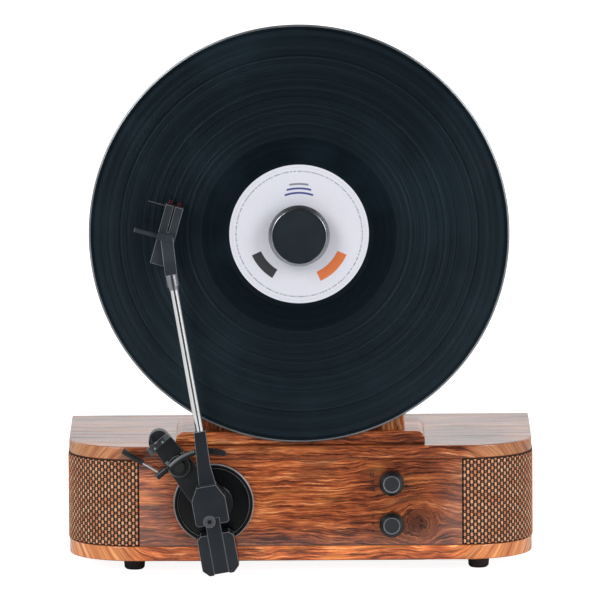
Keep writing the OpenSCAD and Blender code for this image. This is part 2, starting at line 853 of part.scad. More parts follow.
module motor() {
    color("gray") on_motor() difference() {
        union() {
            slab(board_rear - motor_h, board_rear) circle(d = motor_d);
            slab(board_rear - flange_t, board_rear) square([flange_w, flange_h], center = true);
        }
        slab(board_rear - motor_h + 2, board_rear + 1) circle(d = shaft_d + 2 * shaft_fit);
        for (x = [-1, 1]) translate([x * flange_pitch / 2, 0]) {
            slab(board_rear - flange_t - 1, board_rear + 1) circle(d = screw_d + 2 * screw_fit);
        }
    }
}
module motor_pulley() {
    color("goldenrod") on_motor() {
        slab(drum_rear, platter_rear - running) circle(d = pulley_d);
        slab(board_rear - motor_h / 2, drum_rear) circle(d = shaft_d);
    }
}
// Closed loop around the drum and the pulley, grown outwards by a given amount
module belt_loop(grow) {
    big = drum_d / 2 + grow;
    small = pulley_d / 2 + grow;
    dip = (big - small) / motor_drop;
    wide = sqrt(1 - dip * dip);
    circle(r = big);
    translate([0, -motor_drop]) circle(r = small);
    polygon([[big * wide, -big * dip], [-big * wide, -big * dip],
        [-small * wide, -motor_drop - small * dip], [small * wide, -motor_drop - small * dip]]);
}
module drive_belt() {
    front = platter_rear - running;
    color("black") on_spindle() slab(front - belt_w, front) difference() {
        belt_loop(running + belt_t);
        belt_loop(running);
    }
}
module cover_outline(inset) {
    drop = spindle_z - plinth_top;
    circle(d = cover_w - 2 * inset);
    translate([inset - cover_w / 2, -drop]) square([cover_w - 2 * inset, drop]);
}
module motor_cover() {
    color("black") difference() {
        union() {
            on_spindle() difference() {
                slab(board_rear - cover_d, board_rear) cover_outline(0);
                slab(board_rear - cover_d + cover_t, board_rear + 1) cover_outline(cover_t);
            }
            on_spindle() difference() {
                slab(board_rear - ear_t, board_rear) for (x = [-1, 1], y = cover_ears) {
                    translate([x * (cover_w / 2 + ear_out), y]) circle(r = ear_r);
                }
                slab(board_rear - ear_t - 1, board_rear + 1) cover_outline(cover_t);
            }
        }
        cover_holes(screw_d + 2 * screw_fit, board_rear - ear_t - 1, board_rear + 1);
        on_motor() for (i = [-2 : 2]) translate([-vent_w / 2, i * vent_pitch - vent_h / 2]) {
            slab(board_rear - cover_d - 1, board_rear - cover_d + cover_t + 1) square([vent_w, vent_h]);
        }
    }
}

module arm_bezel() {
    bore = post_d / 2 + shaft_fit;
    r = bezel_d / 2;
    lip = r - bezel_lip;
    color("black") facing(-arm_x, arm_z) rotate_extrude() {
        polygon([[bore, -panel_t], [hub_d / 2, -panel_t], [hub_d / 2, 0], [r, 0], [r, bezel_h - 1.4],
            [r - 1, bezel_h], [lip, bezel_h], [lip, bezel_floor], [bore, bezel_floor]]);
    }
}
module rest_plate() {
    half = rest_w / 2;
    color("black") on_rest() difference() {
        union() {
            slab(bezel_h, rest_top) {
                polygon([[-rest_root_left, rest_horn], [rest_root_right, rest_root], [half, rest_at],
                    [-half, rest_at], [-rest_root_left, rest_kink]]);
                translate([0, rest_at]) circle(r = half);
            }
            slab(bezel_floor, bezel_h) translate([-half, rest_root]) square([rest_w, pad_l]);
        }
        translate([boss_x, boss_y]) slab(bezel_h - 1, rest_top + 1) circle(d = boss_d);
        translate([-rest_root_left, lever_y - shaft_room / 2, lever_w - shaft_room / 2])
            cube([rest_root_left, shaft_room, rest_t]);
    }
}
module rest_cradle() {
    half = rest_w / 2;
    color("black") on_rest() {
        intersection() {
            slab(rest_top, cradle_top) {
                translate([0, rest_at]) circle(r = half);
                translate([-half, cradle_low]) square([rest_w, rest_at - cradle_low]);
            }
            translate([-half, cradle_low, 0]) cube([rest_w, half + rest_at, cradle_top]);
        }
        intersection() {
            slab(rest_top, latch_low - running) {
                translate([0, rest_at]) circle(r = half);
                translate([-half, cradle_low]) square([rest_w, rest_at - cradle_low]);
            }
            translate([-half, cradle_low, 0]) cube([cradle_wall, half + rest_at, latch_low]);
        }
        translate([cradle_wall / 2 - half, rest_at]) slab(latch_low - 1, latch_low + latch_t) {
            circle(d = latch_pin_d);
        }
    }
}
module rest_latch() {
    hinge = cradle_wall / 2 - rest_w / 2;
    color("lightgray") on_rest() slab(latch_low, latch_low + latch_t) difference() {
        union() {
            translate([-latch_tab, rest_at - latch_w / 2]) square([latch_tab + latch_tip, latch_w]);
            translate([-latch_tab, rest_at - latch_w]) square([latch_w, latch_w]);
            translate([hinge, rest_at]) circle(d = latch_w + 1);
        }
        translate([hinge, rest_at]) circle(d = latch_pin_d + 2 * shaft_fit);
    }
}
module cue_boss() {
    color("black") on_rest() difference() {
        translate([boss_x, boss_y]) slab(bezel_h, boss_top) difference() {
            circle(d = boss_d);
            circle(d = lifter_stem_d + 2 * shaft_fit);
        }
        translate([0, lever_y, lever_w]) along_x(-rest_w, lever_in + running, lever_shaft_d + 2 * shaft_fit);
    }
}
module cue_lifter() {
    reach = 2 * lifter_r;
    ends = [lifter_left_turn, lifter_right_turn];
    middle = (ends[0] + ends[1]) / 2;
    color([0.1, 0.1, 0.11]) on_rest() translate([boss_x, lifter_y]) {
        slab(lifter_low, lifter_top) {
            intersection() {
                difference() {
                    circle(r = lifter_r + lifter_w / 2);
                    circle(r = lifter_r - lifter_w / 2);
                }
                polygon([[0, 0], for (a = [ends[0], middle, ends[1]]) reach * [sin(a), cos(a)]]);
            }
            for (a = ends) translate(lifter_r * [sin(a), cos(a)]) circle(d = lifter_w);
        }
        translate([0, boss_y - lifter_y]) {
            slab(lifter_low, lifter_pad_top) circle(r = lifter_pad_r);
            slab(bezel_h + lifter_stem_rise, lifter_low) circle(d = lifter_stem_d);
        }
    }
}
module on_rod() {
    on_rest() translate([-rod_at, lever_y, lever_w]) rotate([0, 0, lever_lean]) children();
}
lever_hub_from = -(rest_root_left + rest_w / 2) / 2 - running - 0.1;
module cue_lever() {
    color("gray") {
        on_rest() translate([0, lever_y, lever_w]) {
            along_x(lever_hub_from - lever_hub_l, lever_hub_from, lever_hub_d);
            along_x(lever_hub_from, lever_in, lever_shaft_d);
        }
        on_rod() along_y(0, rod_l + grip_l / 2, rod_d);
    }
}
module cue_grip() {
    color("black") on_rod() difference() {
        along_y(rod_l, rod_l + grip_l, grip_d);
        along_y(rod_l - 1, rod_l + grip_l / 2, rod_d);
    }
}

module arm_turret() {
    color("black") on_arm() difference() {
        union() {
            slab(turret_low, turret_low + turret_t) circle(d = turret_d);
            slab(-panel_t - running - clip_t - 1, turret_low) circle(d = post_d);
            for (side = [-1, 1]) translate([side * (ear_in + ear_w / 2) - arm_shift, 0]) {
                slab(turret_low, arm_w + ear_over) square([ear_w, ear_l], center = true);
            }
        }
        translate([-arm_shift, 0, arm_w]) along_x(-housing_w / 2, housing_w / 2, pin_d + 2 * shaft_fit);
    }
}
module turret_clip() {
    color("silver") on_arm() slab(-panel_t - running - clip_t, -panel_t - running) difference() {
        circle(d = clip_d);
        circle(d = post_d);
    }
}
module arm_housing() {
    half = housing_w / 2;
    low = -housing_down;
    cut = housing_chamfer;
    color([0.1, 0.1, 0.11]) on_arm() translate([-arm_shift, 0]) difference() {
        union() {
            difference() {
                slab(housing_low, housing_top) polygon([[-housing_top_w / 2, housing_up],
                    [-half, housing_shoulder], [-half, low + cut], [cut - half, low], [half - cut, low],
                    [half, low + cut], [half, housing_shoulder], [housing_top_w / 2, housing_up]]);
                slab(housing_low - 1, housing_top - housing_wall) {
                    square([2 * (ear_in + ear_w + 1), 2 * pocket_l], center = true);
                }
            }
            slab(arm_w - ear_over, housing_top - 1) square([2 * (ear_in - 0.5), ear_l], center = true);
        }
        translate([0, 0, arm_w]) along_x(-ear_in, ear_in, pin_d);
        slab(stub_low, housing_top + 1) {
            translate([-stub_w / 2, low - 1]) square([stub_w, housing_down - pocket_l]);
        }
        translate([stub_screw_x, stub_screw_y]) {
            slab(housing_low + 2, stub_low + 1) circle(d = screw_d);
            slab(stub_top, housing_top + 1) circle(d = stub_screw_d + 2 * running);
        }
    }
}
module lift_pin() {
    color("silver") on_arm() translate([-arm_shift, 0, arm_w]) {
        along_x(-ear_in - ear_w - 0.4, ear_in + ear_w + 0.4, pin_d);
    }
}
module arm_sleeve() {
    root = housing_up;
    color([0.1, 0.1, 0.11]) on_arm() difference() {
        slab(arm_w - sleeve_t / 2, arm_w + sleeve_t / 2) {
            polygon([[-arm_shift - sleeve_root_w / 2, root], [sleeve_root_w / 2 - arm_shift, root],
                [sleeve_w / 2, sleeve_end], [-sleeve_w / 2, sleeve_end]]);
            polygon([[sleeve_root_w / 2 - arm_shift - 1, root], [housing_top_w / 2 - arm_shift, root],
                [sleeve_w / 2 - 1, root + rib_l]]);
        }
        translate([0, 0, arm_w]) along_y(sleeve_end - tube_in, sleeve_end + 1, tube_d);
    }
}
module arm_tube() {
    from = sleeve_end - tube_in;
    to = collar_at + collar_l / 2;
    color("silver") on_arm() translate([0, 0, arm_w]) difference() {
        along_y(from, to, tube_d);
        along_y(from - 1, to + 1, tube_d - 2 * tube_wall);
    }
}
module tube_collar() {
    color("gray") on_arm() translate([0, 0, arm_w]) difference() {
        union() {
            along_y(collar_at, collar_at + collar_step, collar_d - 1.6);
            along_y(collar_at + collar_step, collar_at + collar_l, collar_d);
        }
        along_y(collar_at - 1, collar_at + collar_l / 2, tube_d);
    }
}
module headshell() {
    neck_low = collar_at + collar_l;
    color([0.1, 0.1, 0.11]) difference() {
        union() {
            on_arm() slab(arm_w - sleeve_t / 2, arm_w + sleeve_t / 2) {
                polygon([[-neck_w / 2, neck_low], [neck_w / 2, neck_low],
                    [shell_x + neck_w / 2, shell_at - 1], [shell_x - neck_w / 2, shell_at + 3]]);
            }
            on_shell() slab(shell_low, shell_top) square([shell_w, shell_l], center = true);
        }
        on_shell() slab(shell_top - 3, shell_top + 1) {
            translate([-shell_slot_w / 2, shell_l / 2 - shell_slot_l])
                square([shell_slot_w, shell_slot_l + 1]);
        }
    }
}
module finger_lift() {
    color([0.1, 0.1, 0.11]) on_shell() translate([0, -2.3, (shell_low + shell_top) / 2]) {
        along_x(-shell_w / 2 - lift_l, -shell_w / 2, lift_d);
    }
}
cart_from = shell_l / 2 - 1 - cart_l;
module cartridge() {
    color([0.16, 0.16, 0.17]) on_shell() {
        slab(cart_low, shell_low) translate([-cart_w / 2, cart_from]) square([cart_w, cart_l]);
        translate([0, cart_from + cart_l - 1.5, cart_low + lever_wire_w]) {
            along_x(-cart_w / 2 - lever_wire_l, -cart_w / 2, lever_wire_d);
        }
    }
}
module stylus() {
    tip = record_face + running;
    holder_low = cart_low - holder_t;
    color("firebrick") on_shell() {
        slab(holder_low, cart_low) translate([holder_inset - cart_w / 2, cart_from + holder_from])
            square([cart_w - 2 * holder_inset, cart_l - holder_from]);
        for (side = [-1, 1]) translate([side * cart_w / 3 - prong_w / 2, shell_l / 2 - 1]) {
            slab(holder_low, cart_low + 3) square([prong_w, prong_w]);
        }
        translate([0, needle_y, tip]) cylinder(r1 = needle_r / 3, r2 = needle_r, h = holder_low - tip);
    }
}
module arm_stub() {
    from = -pocket_l - 1;
    color([0.1, 0.1, 0.11]) on_arm() translate([-arm_shift, 0]) difference() {
        slab(stub_low, stub_top) translate([-stub_w / 2, -stub_end]) square([stub_w, stub_end + from]);
        translate([stub_screw_x, stub_screw_y]) slab(stub_low - 1, stub_top + 1) circle(d = screw_d);
    }
}
module stub_screw() {
    color("dimgray") on_arm() translate([stub_screw_x - arm_shift, stub_screw_y]) difference() {
        union() {
            slab(stub_top, arm_reach) circle(d = stub_screw_d);
            slab(housing_low + 2, stub_top) circle(d = screw_d);
        }
        slab(stub_top + 0.5, arm_reach + 1) circle(d = screw_d, $fn = 6);
    }
}
module counterweight() {
    half = weight_w / 2;
    near = -weight_at;
    far = near - weight_l;
    a = weight_chamfer;
    b = weight_chamfer_end;
    color([0.1, 0.1, 0.11]) on_arm() translate([-arm_shift, 0]) difference() {
        slab(weight_low, weight_top) polygon([[a - half, near], [half - a, near], [half, near - a],
            [half, far + b], [half - b, far], [b - half, far], [-half, far + b], [-half, near - a]]);
        slab(stub_low - slide_fit, weight_top + 1) {
            translate([-stub_w / 2 - slide_fit, far - 1]) square([stub_w + 2 * slide_fit, weight_l + 2]);
        }
    }
}

top_board();
bottom_board();
front_panel();
left_side_panel();
right_side_panel();
back_panel();
plinth();
back_board();
left_grille_frame();
right_grille_frame();
left_grille_cloth();
right_grille_cloth();
speaker_baffles();
left_speaker();
right_speaker();
speaker_cones();
circuit_board();
jack_plate();
rca_jacks();
dc_jack();
feet();
wood_screws();
selector_switches();
bearing_bush();
motor();
drive_belt();
motor_cover();
arm_bezel();
rest_plate();
rest_cradle();
cue_boss();
spindle();
drive_drum();
platter();
slip_mat();
record();
record_label();
motor_pulley();
record_clamp();
clamp_ring();
arm_turret();
turret_clip();
arm_housing();
lift_pin();
arm_sleeve();
arm_tube();
tube_collar();
headshell();
cartridge();
stylus();
finger_lift();
arm_stub();
stub_screw();
counterweight();
cue_lifter();
cue_lever();
cue_grip();
rest_latch();
speed_knob();
source_knob();
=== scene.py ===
import json
import math
import bpy
from mathutils import Matrix, Vector

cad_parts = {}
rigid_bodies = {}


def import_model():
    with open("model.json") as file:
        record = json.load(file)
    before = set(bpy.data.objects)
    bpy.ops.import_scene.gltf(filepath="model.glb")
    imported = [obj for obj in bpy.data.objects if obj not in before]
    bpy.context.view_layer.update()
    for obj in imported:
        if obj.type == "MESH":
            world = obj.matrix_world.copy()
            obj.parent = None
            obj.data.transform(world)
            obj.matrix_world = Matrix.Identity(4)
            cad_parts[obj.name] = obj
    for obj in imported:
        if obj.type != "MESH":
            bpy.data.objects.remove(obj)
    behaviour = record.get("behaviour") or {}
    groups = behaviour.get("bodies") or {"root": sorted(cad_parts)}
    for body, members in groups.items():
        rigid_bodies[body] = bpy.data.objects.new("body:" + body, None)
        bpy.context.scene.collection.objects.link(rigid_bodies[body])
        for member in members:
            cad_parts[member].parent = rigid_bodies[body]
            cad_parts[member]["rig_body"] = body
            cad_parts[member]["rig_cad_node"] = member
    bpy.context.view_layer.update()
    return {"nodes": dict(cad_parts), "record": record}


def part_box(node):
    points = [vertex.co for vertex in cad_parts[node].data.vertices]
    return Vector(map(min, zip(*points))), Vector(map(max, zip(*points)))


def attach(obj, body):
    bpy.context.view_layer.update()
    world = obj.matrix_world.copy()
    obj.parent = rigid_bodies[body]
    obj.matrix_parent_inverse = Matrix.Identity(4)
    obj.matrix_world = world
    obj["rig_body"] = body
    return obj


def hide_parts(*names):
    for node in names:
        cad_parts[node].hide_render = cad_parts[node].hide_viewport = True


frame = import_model()
nodes = frame["nodes"]
bodies = frame["record"]["behaviour"]["bodies"]
bodyOf = {member: body for body, members in bodies.items() for member in members}
print("frame loaded:", len(nodes), "solids")


def middleOf(node):
    low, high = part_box(node)
    return (low + high) / 2


mm = 0.001
mergeGap = 2e-6
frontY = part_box("front_panel")[0].y  # front face of the wooden base
spindle = Vector((0.0, frontY, middleOf("record").z))
pivot = middleOf("arm_bezel")
pivot.y = frontY  # the tonearm's axis meets the base's face here


def outFrom(centre, point):
    # distance from an axis that points at the viewer, in mm
    return math.hypot(point.x - centre.x, point.z - centre.z) / mm


def tallAt(point):
    # distance in front of the base's face, in mm
    return (frontY - point.y) / mm


def pick(values, keys):
    return [values[key] for key in keys.split()]


def tone(red, green, blue):
    def linear(v):
        v = v / 255
        return v / 12.92 if v <= 0.04045 else ((v + 0.055) / 1.055) ** 2.4
    return (linear(red), linear(green), linear(blue), 1.0)


# small helpers for modelling

angles = dict(bevelOver=28, smoothUnder=50, flatUnder=0.6)  # degrees between neighbouring faces


def clearSelection():
    if bpy.context.object and bpy.context.object.mode != "OBJECT":
        bpy.ops.object.mode_set(mode="OBJECT")
    bpy.ops.object.select_all(action="DESELECT")


def takeUp(piece):
    clearSelection()
    piece.select_set(True)
    bpy.context.view_layer.objects.active = piece


def openUp(piece):
    takeUp(piece)
    bpy.ops.object.mode_set(mode="EDIT")
    bpy.ops.mesh.select_all(action="SELECT")


def closeUp():
    bpy.ops.object.mode_set(mode="OBJECT")


def settle(name):
    # the primitive just added keeps its place in its mesh
    piece = bpy.context.object
    piece.name = name
    bpy.ops.object.transform_apply(location=True, rotation=True, scale=True)
    return piece


def applyModifiers(piece):
    takeUp(piece)
    for modifier in list(piece.modifiers):
        bpy.ops.object.modifier_apply(modifier=modifier.name)


def smoothBy(piece, degrees):
    takeUp(piece)
    bpy.ops.object.shade_smooth_by_angle(angle=math.radians(degrees))
    level = piece.modifiers.new("level", "WEIGHTED_NORMAL")  # flat faces stay flat beside rounded edges
    level.keep_sharp = True
    applyModifiers(piece)


def fromSolid(node, name):
    # a merged copy of a solid, with its flat faces whole again
    piece = nodes[node].copy()
    piece.data = nodes[node].data.copy()
    piece.name = name
    piece.data.name = name
    piece.parent = None
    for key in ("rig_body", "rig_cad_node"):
        if key in piece:
            del piece[key]
    bpy.context.scene.collection.objects.link(piece)
    piece.data.materials.clear()
    takeUp(piece)
    bpy.ops.mesh.customdata_custom_splitnormals_clear()
    openUp(piece)
    bpy.ops.mesh.remove_doubles(threshold=mergeGap)
    bpy.ops.mesh.dissolve_limited(angle_limit=math.radians(angles["flatUnder"]))
    closeUp()
    return piece


def softenEdges(piece, width, steps=2, edgeSlot=-1):
    bevel = piece.modifiers.new("edges", "BEVEL")
    bevel.width = width * mm
    bevel.segments = steps
    bevel.limit_method = "ANGLE"
    bevel.angle_limit = math.radians(angles["bevelOver"])
    bevel.use_clamp_overlap = False
    bevel.material = edgeSlot
    applyModifiers(piece)
    smoothBy(piece, angles["smoothUnder"])


def copyOf(piece, name, move):
    twin = piece.copy()
    twin.data = piece.data.copy()
    twin.data.transform(move)
    twin.name = name
    bpy.context.scene.collection.objects.link(twin)
    return twin


def joinPieces(pieces, name):
    takeUp(pieces[0])
    for piece in pieces:
        piece.select_set(True)
    bpy.ops.object.join()
    pieces[0].name = name
    return pieces[0]


def lathe(name, profile, centre, steps, smooth):
    # a profile of radius and distance in front of the base, in mm, is drawn point by point and spun
    points = [Vector((centre.x + out * mm, frontY - tall * mm, centre.z)) for out, tall in profile]
    clearSelection()
    bpy.ops.mesh.primitive_plane_add(size=mm, calc_uvs=False, location=points[0])
    piece = settle(name)
    openUp(piece)
    bpy.ops.mesh.merge(type="CENTER")
    for start, end in zip(points, points[1:]):
        bpy.ops.mesh.extrude_vertices_move(TRANSFORM_OT_translate={"value": end - start})
    bpy.ops.mesh.select_all(action="SELECT")
    bpy.ops.mesh.spin(steps=steps, angle=math.tau, center=(centre.x, frontY, centre.z), axis=(0, 1, 0))
    bpy.ops.mesh.select_all(action="SELECT")
    bpy.ops.mesh.remove_doubles(threshold=mergeGap)
    bpy.ops.mesh.normals_make_consistent(inside=False)
    closeUp()
    smoothBy(piece, smooth)
    return piece


def addBlock(name, centre, size, turn, soft=0.0):
    # a box of the given size in mm, turned about the line towards the viewer
    clearSelection()
    bpy.ops.mesh.primitive_cube_add(size=1, location=centre, rotation=(0, turn, 0))
    bpy.context.object.scale = [v * mm for v in size]
    block = settle(name)
    if soft:
        softenEdges(block, soft)
    return block


def dress(piece, *finishes):
    for finish in finishes:
        piece.data.materials.append(finish)
    return piece


def paint(piece, slot, chosen):
    for face in piece.data.polygons:
        if chosen(face.center):
            face.material_index = slot


def addTo(piece, node):
    # a small extra that moves with the solid's body
    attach(piece, bodyOf[node])


def standFor(piece, node):
    # the piece takes the place of the solid and moves with its body
    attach(piece, bodyOf[node])
    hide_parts(node)


def edged(node, name, finishes, width, steps=2, edgeSlot=1, cuts=(), areas=()):
    # a solid with rounded edges; edgeSlot's finish lies on the edges, others on the chosen areas
    piece = dress(fromSolid(node, name), *finishes)
    for point, direction in cuts:
        openUp(piece)
        bpy.ops.mesh.bisect(plane_co=point, plane_no=direction)
        closeUp()
    softenEdges(piece, width, steps, edgeSlot if len(finishes) > 1 else -1)
    for slot, chosen in areas:
        paint(piece, slot, chosen)
    standFor(piece, node)


# small helpers for shader nodes

def newFinish(name):
    finish = bpy.data.materials.new(name)
    finish.use_nodes = True
    return finish, finish.node_tree, finish.node_tree.nodes["Principled BSDF"]


def isMade(value):
    return hasattr(value, "is_output")


def feed(socket, value):
    # what another node makes is linked, a plain value is set
    if isMade(value):
        socket.id_data.links.new(value, socket)
    else:
        socket.default_value = value


def feedAll(node, values):
    for label, value in values.items():
        feed(node.inputs[label], value)


def addNode(kind, *values):
    # a node in the tree where its values are made
    tree = next(value.id_data for value in values if isMade(value))
    node = tree.nodes.new("ShaderNode" + kind)
    for socket, value in zip(node.inputs, values):
        feed(socket, value)
    return node


def calc(operation, *values):
    node = addNode("Math", *values)
    node.operation = operation
    return node.outputs[0]


def chain(operation):
    def link(first, *others):
        for other in others:
            first = calc(operation, first, other)
        return first
    return link


times, plus, minus, most = map(chain, ("MULTIPLY", "ADD", "SUBTRACT", "MAXIMUM"))


def reachOf(a, b):
    return calc("SQRT", plus(times(a, a), times(b, b)))


def remap(value, low, high, outLow=0.0, outHigh=1.0, kind="SMOOTHSTEP"):
    node = addNode("MapRange", value, low, high, outLow, outHigh)
    node.interpolation_type = kind
    node.clamp = True
    return node.outputs[0]


def blendTone(factor, a, b, kind="MIX"):
    node = next(value for value in (factor, a, b) if isMade(value)).id_data.nodes.new("ShaderNodeMix")
    node.data_type = "RGBA"
    node.blend_type = kind
    for i, value in ((0, factor), (6, a), (7, b)):
        feed(node.inputs[i], value)
    return node.outputs[2]


def dimTone(colour, light):
    grey = addNode("CombineColor", light, light, light).outputs[0]
    return blendTone(1.0, colour, grey, "MULTIPLY")


def vector(x, y, z):
    return addNode("CombineXYZ", x, y, z).outputs[0]


def shifted(a, b, operation="ADD"):
    node = addNode("VectorMath", a, b)
    node.operation = operation
    return node.outputs[0]


def noise(place, scale=1.0, detail=2.0, rough=0.5):
    node = addNode("TexNoise", place)
    feedAll(node, {"Scale": scale, "Detail": detail, "Roughness": rough})
    return node.outputs[0]


def objectPlace(tree):
    return tree.nodes.new("ShaderNodeTexCoord").outputs["Object"]


def discPlace(tree):
    # the place measured from the spindle
    node = addNode("Mapping", objectPlace(tree))
    feedAll(node, {"Location": (0.0, 0.0, -spindle.z)})
    return node.outputs[0]


def split(value):
    return tuple(addNode("SeparateXYZ", value).outputs)


def bump(shader, height, strength, distance):
    node = height.id_data.nodes.new("ShaderNodeBump")
    feedAll(node, {"Height": height, "Strength": strength, "Distance": distance})
    feed(shader.inputs["Normal"], node.outputs[0])


def ramp(value, stops):
    node = addNode("ValToRGB", value)
    while len(node.color_ramp.elements) < len(stops):
        node.color_ramp.elements.new(0.5)
    for element, (place, colour) in zip(node.color_ramp.elements, stops):
        element.position = place
        element.color = colour
    return node.outputs[0]


def startGroup(name, inputs, outputs):
    group = bpy.data.node_groups.new(name, "ShaderNodeTree")
    for label, value in inputs.items():
        kind = "NodeSocketVector" if isinstance(value, tuple) else "NodeSocketFloat"
        group.interface.new_socket(name=label, in_out="INPUT", socket_type=kind).default_value = value
    for label in outputs:
        kind = "NodeSocketColor" if label == "Colour" else "NodeSocketFloat"
        group.interface.new_socket(name=label, in_out="OUTPUT", socket_type=kind)
    return group, group.nodes.new("NodeGroupInput").outputs, group.nodes.new("NodeGroupOutput").inputs


def useGroup(tree, group, **values):
    node = tree.nodes.new("ShaderNodeGroup")
    node.node_tree = group
    feedAll(node, values)
    return node.outputs


# veneer of all boards: wavy dark streaks, which flow round a knot where one is given

def makeVeneerGroup():
    group, given, out = startGroup("veneerStreaks", dict(
        Shift=(0.0, 0.0, 0.0), KnotX=0.0, KnotZ=0.0, KnotSize=0.0, CornerX=1.0, Slant=0.75, Light=1.0,
        SeamLow=-1.0, SeamHigh=-1.0, Upright=0.0, Tilt=0.0, EdgeCoat=0.85),
        ("Colour", "Rough", "Height", "Coat"))
    coords = group.nodes.new("ShaderNodeTexCoord")
    x, y, z = split(coords.outputs["Object"])
    upward = calc("ABSOLUTE", split(coords.outputs["Normal"])[2])
    lying = remap(upward, 0.5, 0.8)
    standing = minus(1.0, lying)
    acrossFlat = plus(times(y, lying), times(z, standing))
    along = plus(times(z, lying), times(y, standing))
    corner = most(minus(calc("ABSOLUTE", x), given["CornerX"]), 0.0)
    slant = times(calc("POWER", corner, 2.0), standing, times(given["Slant"], 30.0))
    # an upright board has its grain from foot to head
    level = minus(1.0, given["Upright"])
    length = plus(times(x, level), times(z, given["Upright"]))
    across = plus(times(plus(acrossFlat, slant), level), times(x, given["Upright"]))

    def layer(alongScale, acrossScale, line, detail, rough):
        place = vector(times(length, alongScale), times(along, alongScale), times(line, acrossScale))
        return noise(shifted(place, given["Shift"]), 1.0, detail, rough)

    def centred(value, size):
        return times(minus(value, 0.5), size)

    # streaks pass round the knot as water passes a post
    knotSize = given["KnotSize"]
    knotDx = times(minus(x, given["KnotX"]), 0.9)
    knotDz = minus(across, given["KnotZ"])
    reach = plus(reachOf(knotDx, knotDz), centred(layer(150, 150, across, 3, 0.6), 0.007))
    outside = calc("DIVIDE", knotSize, most(reach, knotSize))
    opening = minus(1.0, times(outside, outside))
    inside = most(minus(knotSize, reach), 0.0)
    flow = plus(given["KnotZ"], times(knotDz, opening), inside)

    sway = centred(layer(15, 24, flow, 2, 0.5), 0.015)
    ripple = centred(layer(62, 80, flow, 3, 0.55), 0.0030)
    shiver = centred(layer(190, 260, flow, 2, 0.5), 0.0008)
    line = plus(flow, plus(sway, plus(ripple, shiver)))
    broad = layer(8, 75, line, 3, 0.55)
    streak = layer(22, 560, line, 4, 0.7)
    fine = layer(80, 1500, line, 3, 0.65)
    zone = layer(16, 30, line, 2, 0.5)
    vein = layer(27, 400, line, 4, 0.66)
    hair = layer(55, 1000, line, 3, 0.6)
    patch = layer(13, 46, line, 3, 0.6)
    total = plus(times(broad, 0.24), times(streak, 0.50), plus(times(fine, 0.34), times(zone, 0.24)))
    shade = remap(total, 0.54, 0.785, kind="LINEAR")
    colour = ramp(shade, [(0.0, tone(46, 18, 9)), (0.2, tone(100, 43, 19)), (0.45, tone(158, 76, 36)),
                          (0.7, tone(210, 112, 57)), (1.0, tone(250, 180, 122))])
    veinMask = most(remap(vein, 0.43, 0.36), times(remap(hair, 0.42, 0.35), 0.85))
    colour = blendTone(times(veinMask, 0.8), colour, tone(54, 23, 12))
    colour = blendTone(times(remap(patch, 0.46, 0.34), 0.5), colour, tone(80, 40, 24))
    colour = blendTone(times(remap(patch, 0.55, 0.68), 0.4), colour, tone(232, 142, 70))
    dark = remap(reach, times(knotSize, 1.2), times(knotSize, 0.5))
    colour = blendTone(times(dark, 0.7), colour, tone(72, 32, 17))
    crack = times(remap(layer(330, 330, across, 3, 0.6), 0.45, 0.37), dark)
    colour = blendTone(times(crack, 0.75), colour, tone(30, 14, 8))
    # the tone slopes from left to right: partly the wood's own, partly painted light, brighter towards the left
    # end
    colour = dimTone(colour, times(given["Light"], plus(times(x, given["Tilt"]), 1.0)))
    # paler where a board's end curves round: partly the wood's figure, partly painted sheen of the curve
    figure = plus(times(layer(12, 150, line, 4, 0.62), 0.62), times(streak, 0.38))
    pale = ramp(remap(figure, 0.36, 0.64, kind="LINEAR"), [
        (0.0, tone(116, 56, 27)), (0.25, tone(190, 106, 56)), (0.6, tone(226, 148, 87)),
        (1.0, tone(248, 192, 130))])
    pale = dimTone(pale, plus(times(given["Light"], 0.6), 0.25))
    cornerFigureAndSheen = times(remap(corner, 0.0, 0.034), standing)
    colour = blendTone(times(cornerFigureAndSheen, 0.85), colour, pale)
    # painted shade in the gaps along the seams
    lowGap = calc("ABSOLUTE", minus(z, given["SeamLow"]))
    highGap = calc("ABSOLUTE", minus(z, given["SeamHigh"]))
    seamShade = most(remap(lowGap, 0.0013, 0.0005), times(remap(highGap, 0.001, 0.0004), 0.55))
    colour = blendTone(times(seamShade, standing, 0.78), colour, tone(28, 13, 8))
    feed(out["Colour"], colour)
    feed(out["Rough"], remap(shade, 0.0, 1.0, 0.46, 0.3, "LINEAR"))
    feed(out["Height"], plus(times(streak, 0.6), times(fine, 0.4)))
    # open pores carry less lacquer
    pores = remap(layer(7, 560, line, 4, 0.65), 0.49, 0.41)
    flatCoat = minus(1.0, times(pores, 0.45))
    uprightCoat = minus(given["EdgeCoat"], times(veinMask, 0.25))
    feed(out["Coat"], plus(times(flatCoat, lying), times(uprightCoat, standing)))
    return group


veneerGroup = makeVeneerGroup()


def veneerFinish(name, shift, light, gloss=0.12, ior=1.55, slant=0.8, **others):
    finish, tree, shader = newFinish(name)
    grain = useGroup(tree, veneerGroup, Shift=shift, Light=light, Slant=slant, **others)
    feedAll(shader, {
        "Base Color": grain["Colour"], "Roughness": grain["Rough"], "Coat Weight": grain["Coat"],
        "Specular IOR Level": 0.12, "Coat Roughness": gloss, "Coat IOR": ior})
    bump(shader, grain["Height"], 0.35, 0.00012)
    return finish


# moulded grain: fine speckle, faint smudges and uneven gloss of plastic, paint and rubber

def makeMouldedGroup():
    group, given, out = startGroup("mouldedGrain", dict(Scale=2500.0, Rough=0.4, Spread=0.1),
                                   ("Smudge", "Rough", "Height"))
    place = objectPlace(group)
    speckle = noise(place, given["Scale"], 2, 0.6)
    smudge = noise(place, 46.0, 3, 0.6)
    feed(out["Smudge"], remap(smudge, 0.42, 0.66))
    uneven = times(minus(smudge, 0.5), given["Spread"])
    pitted = times(minus(speckle, 0.5), times(given["Spread"], 0.6))
    feed(out["Rough"], plus(given["Rough"], plus(uneven, pitted)))
    feed(out["Height"], speckle)
    return group


mouldedGroup = makeMouldedGroup()


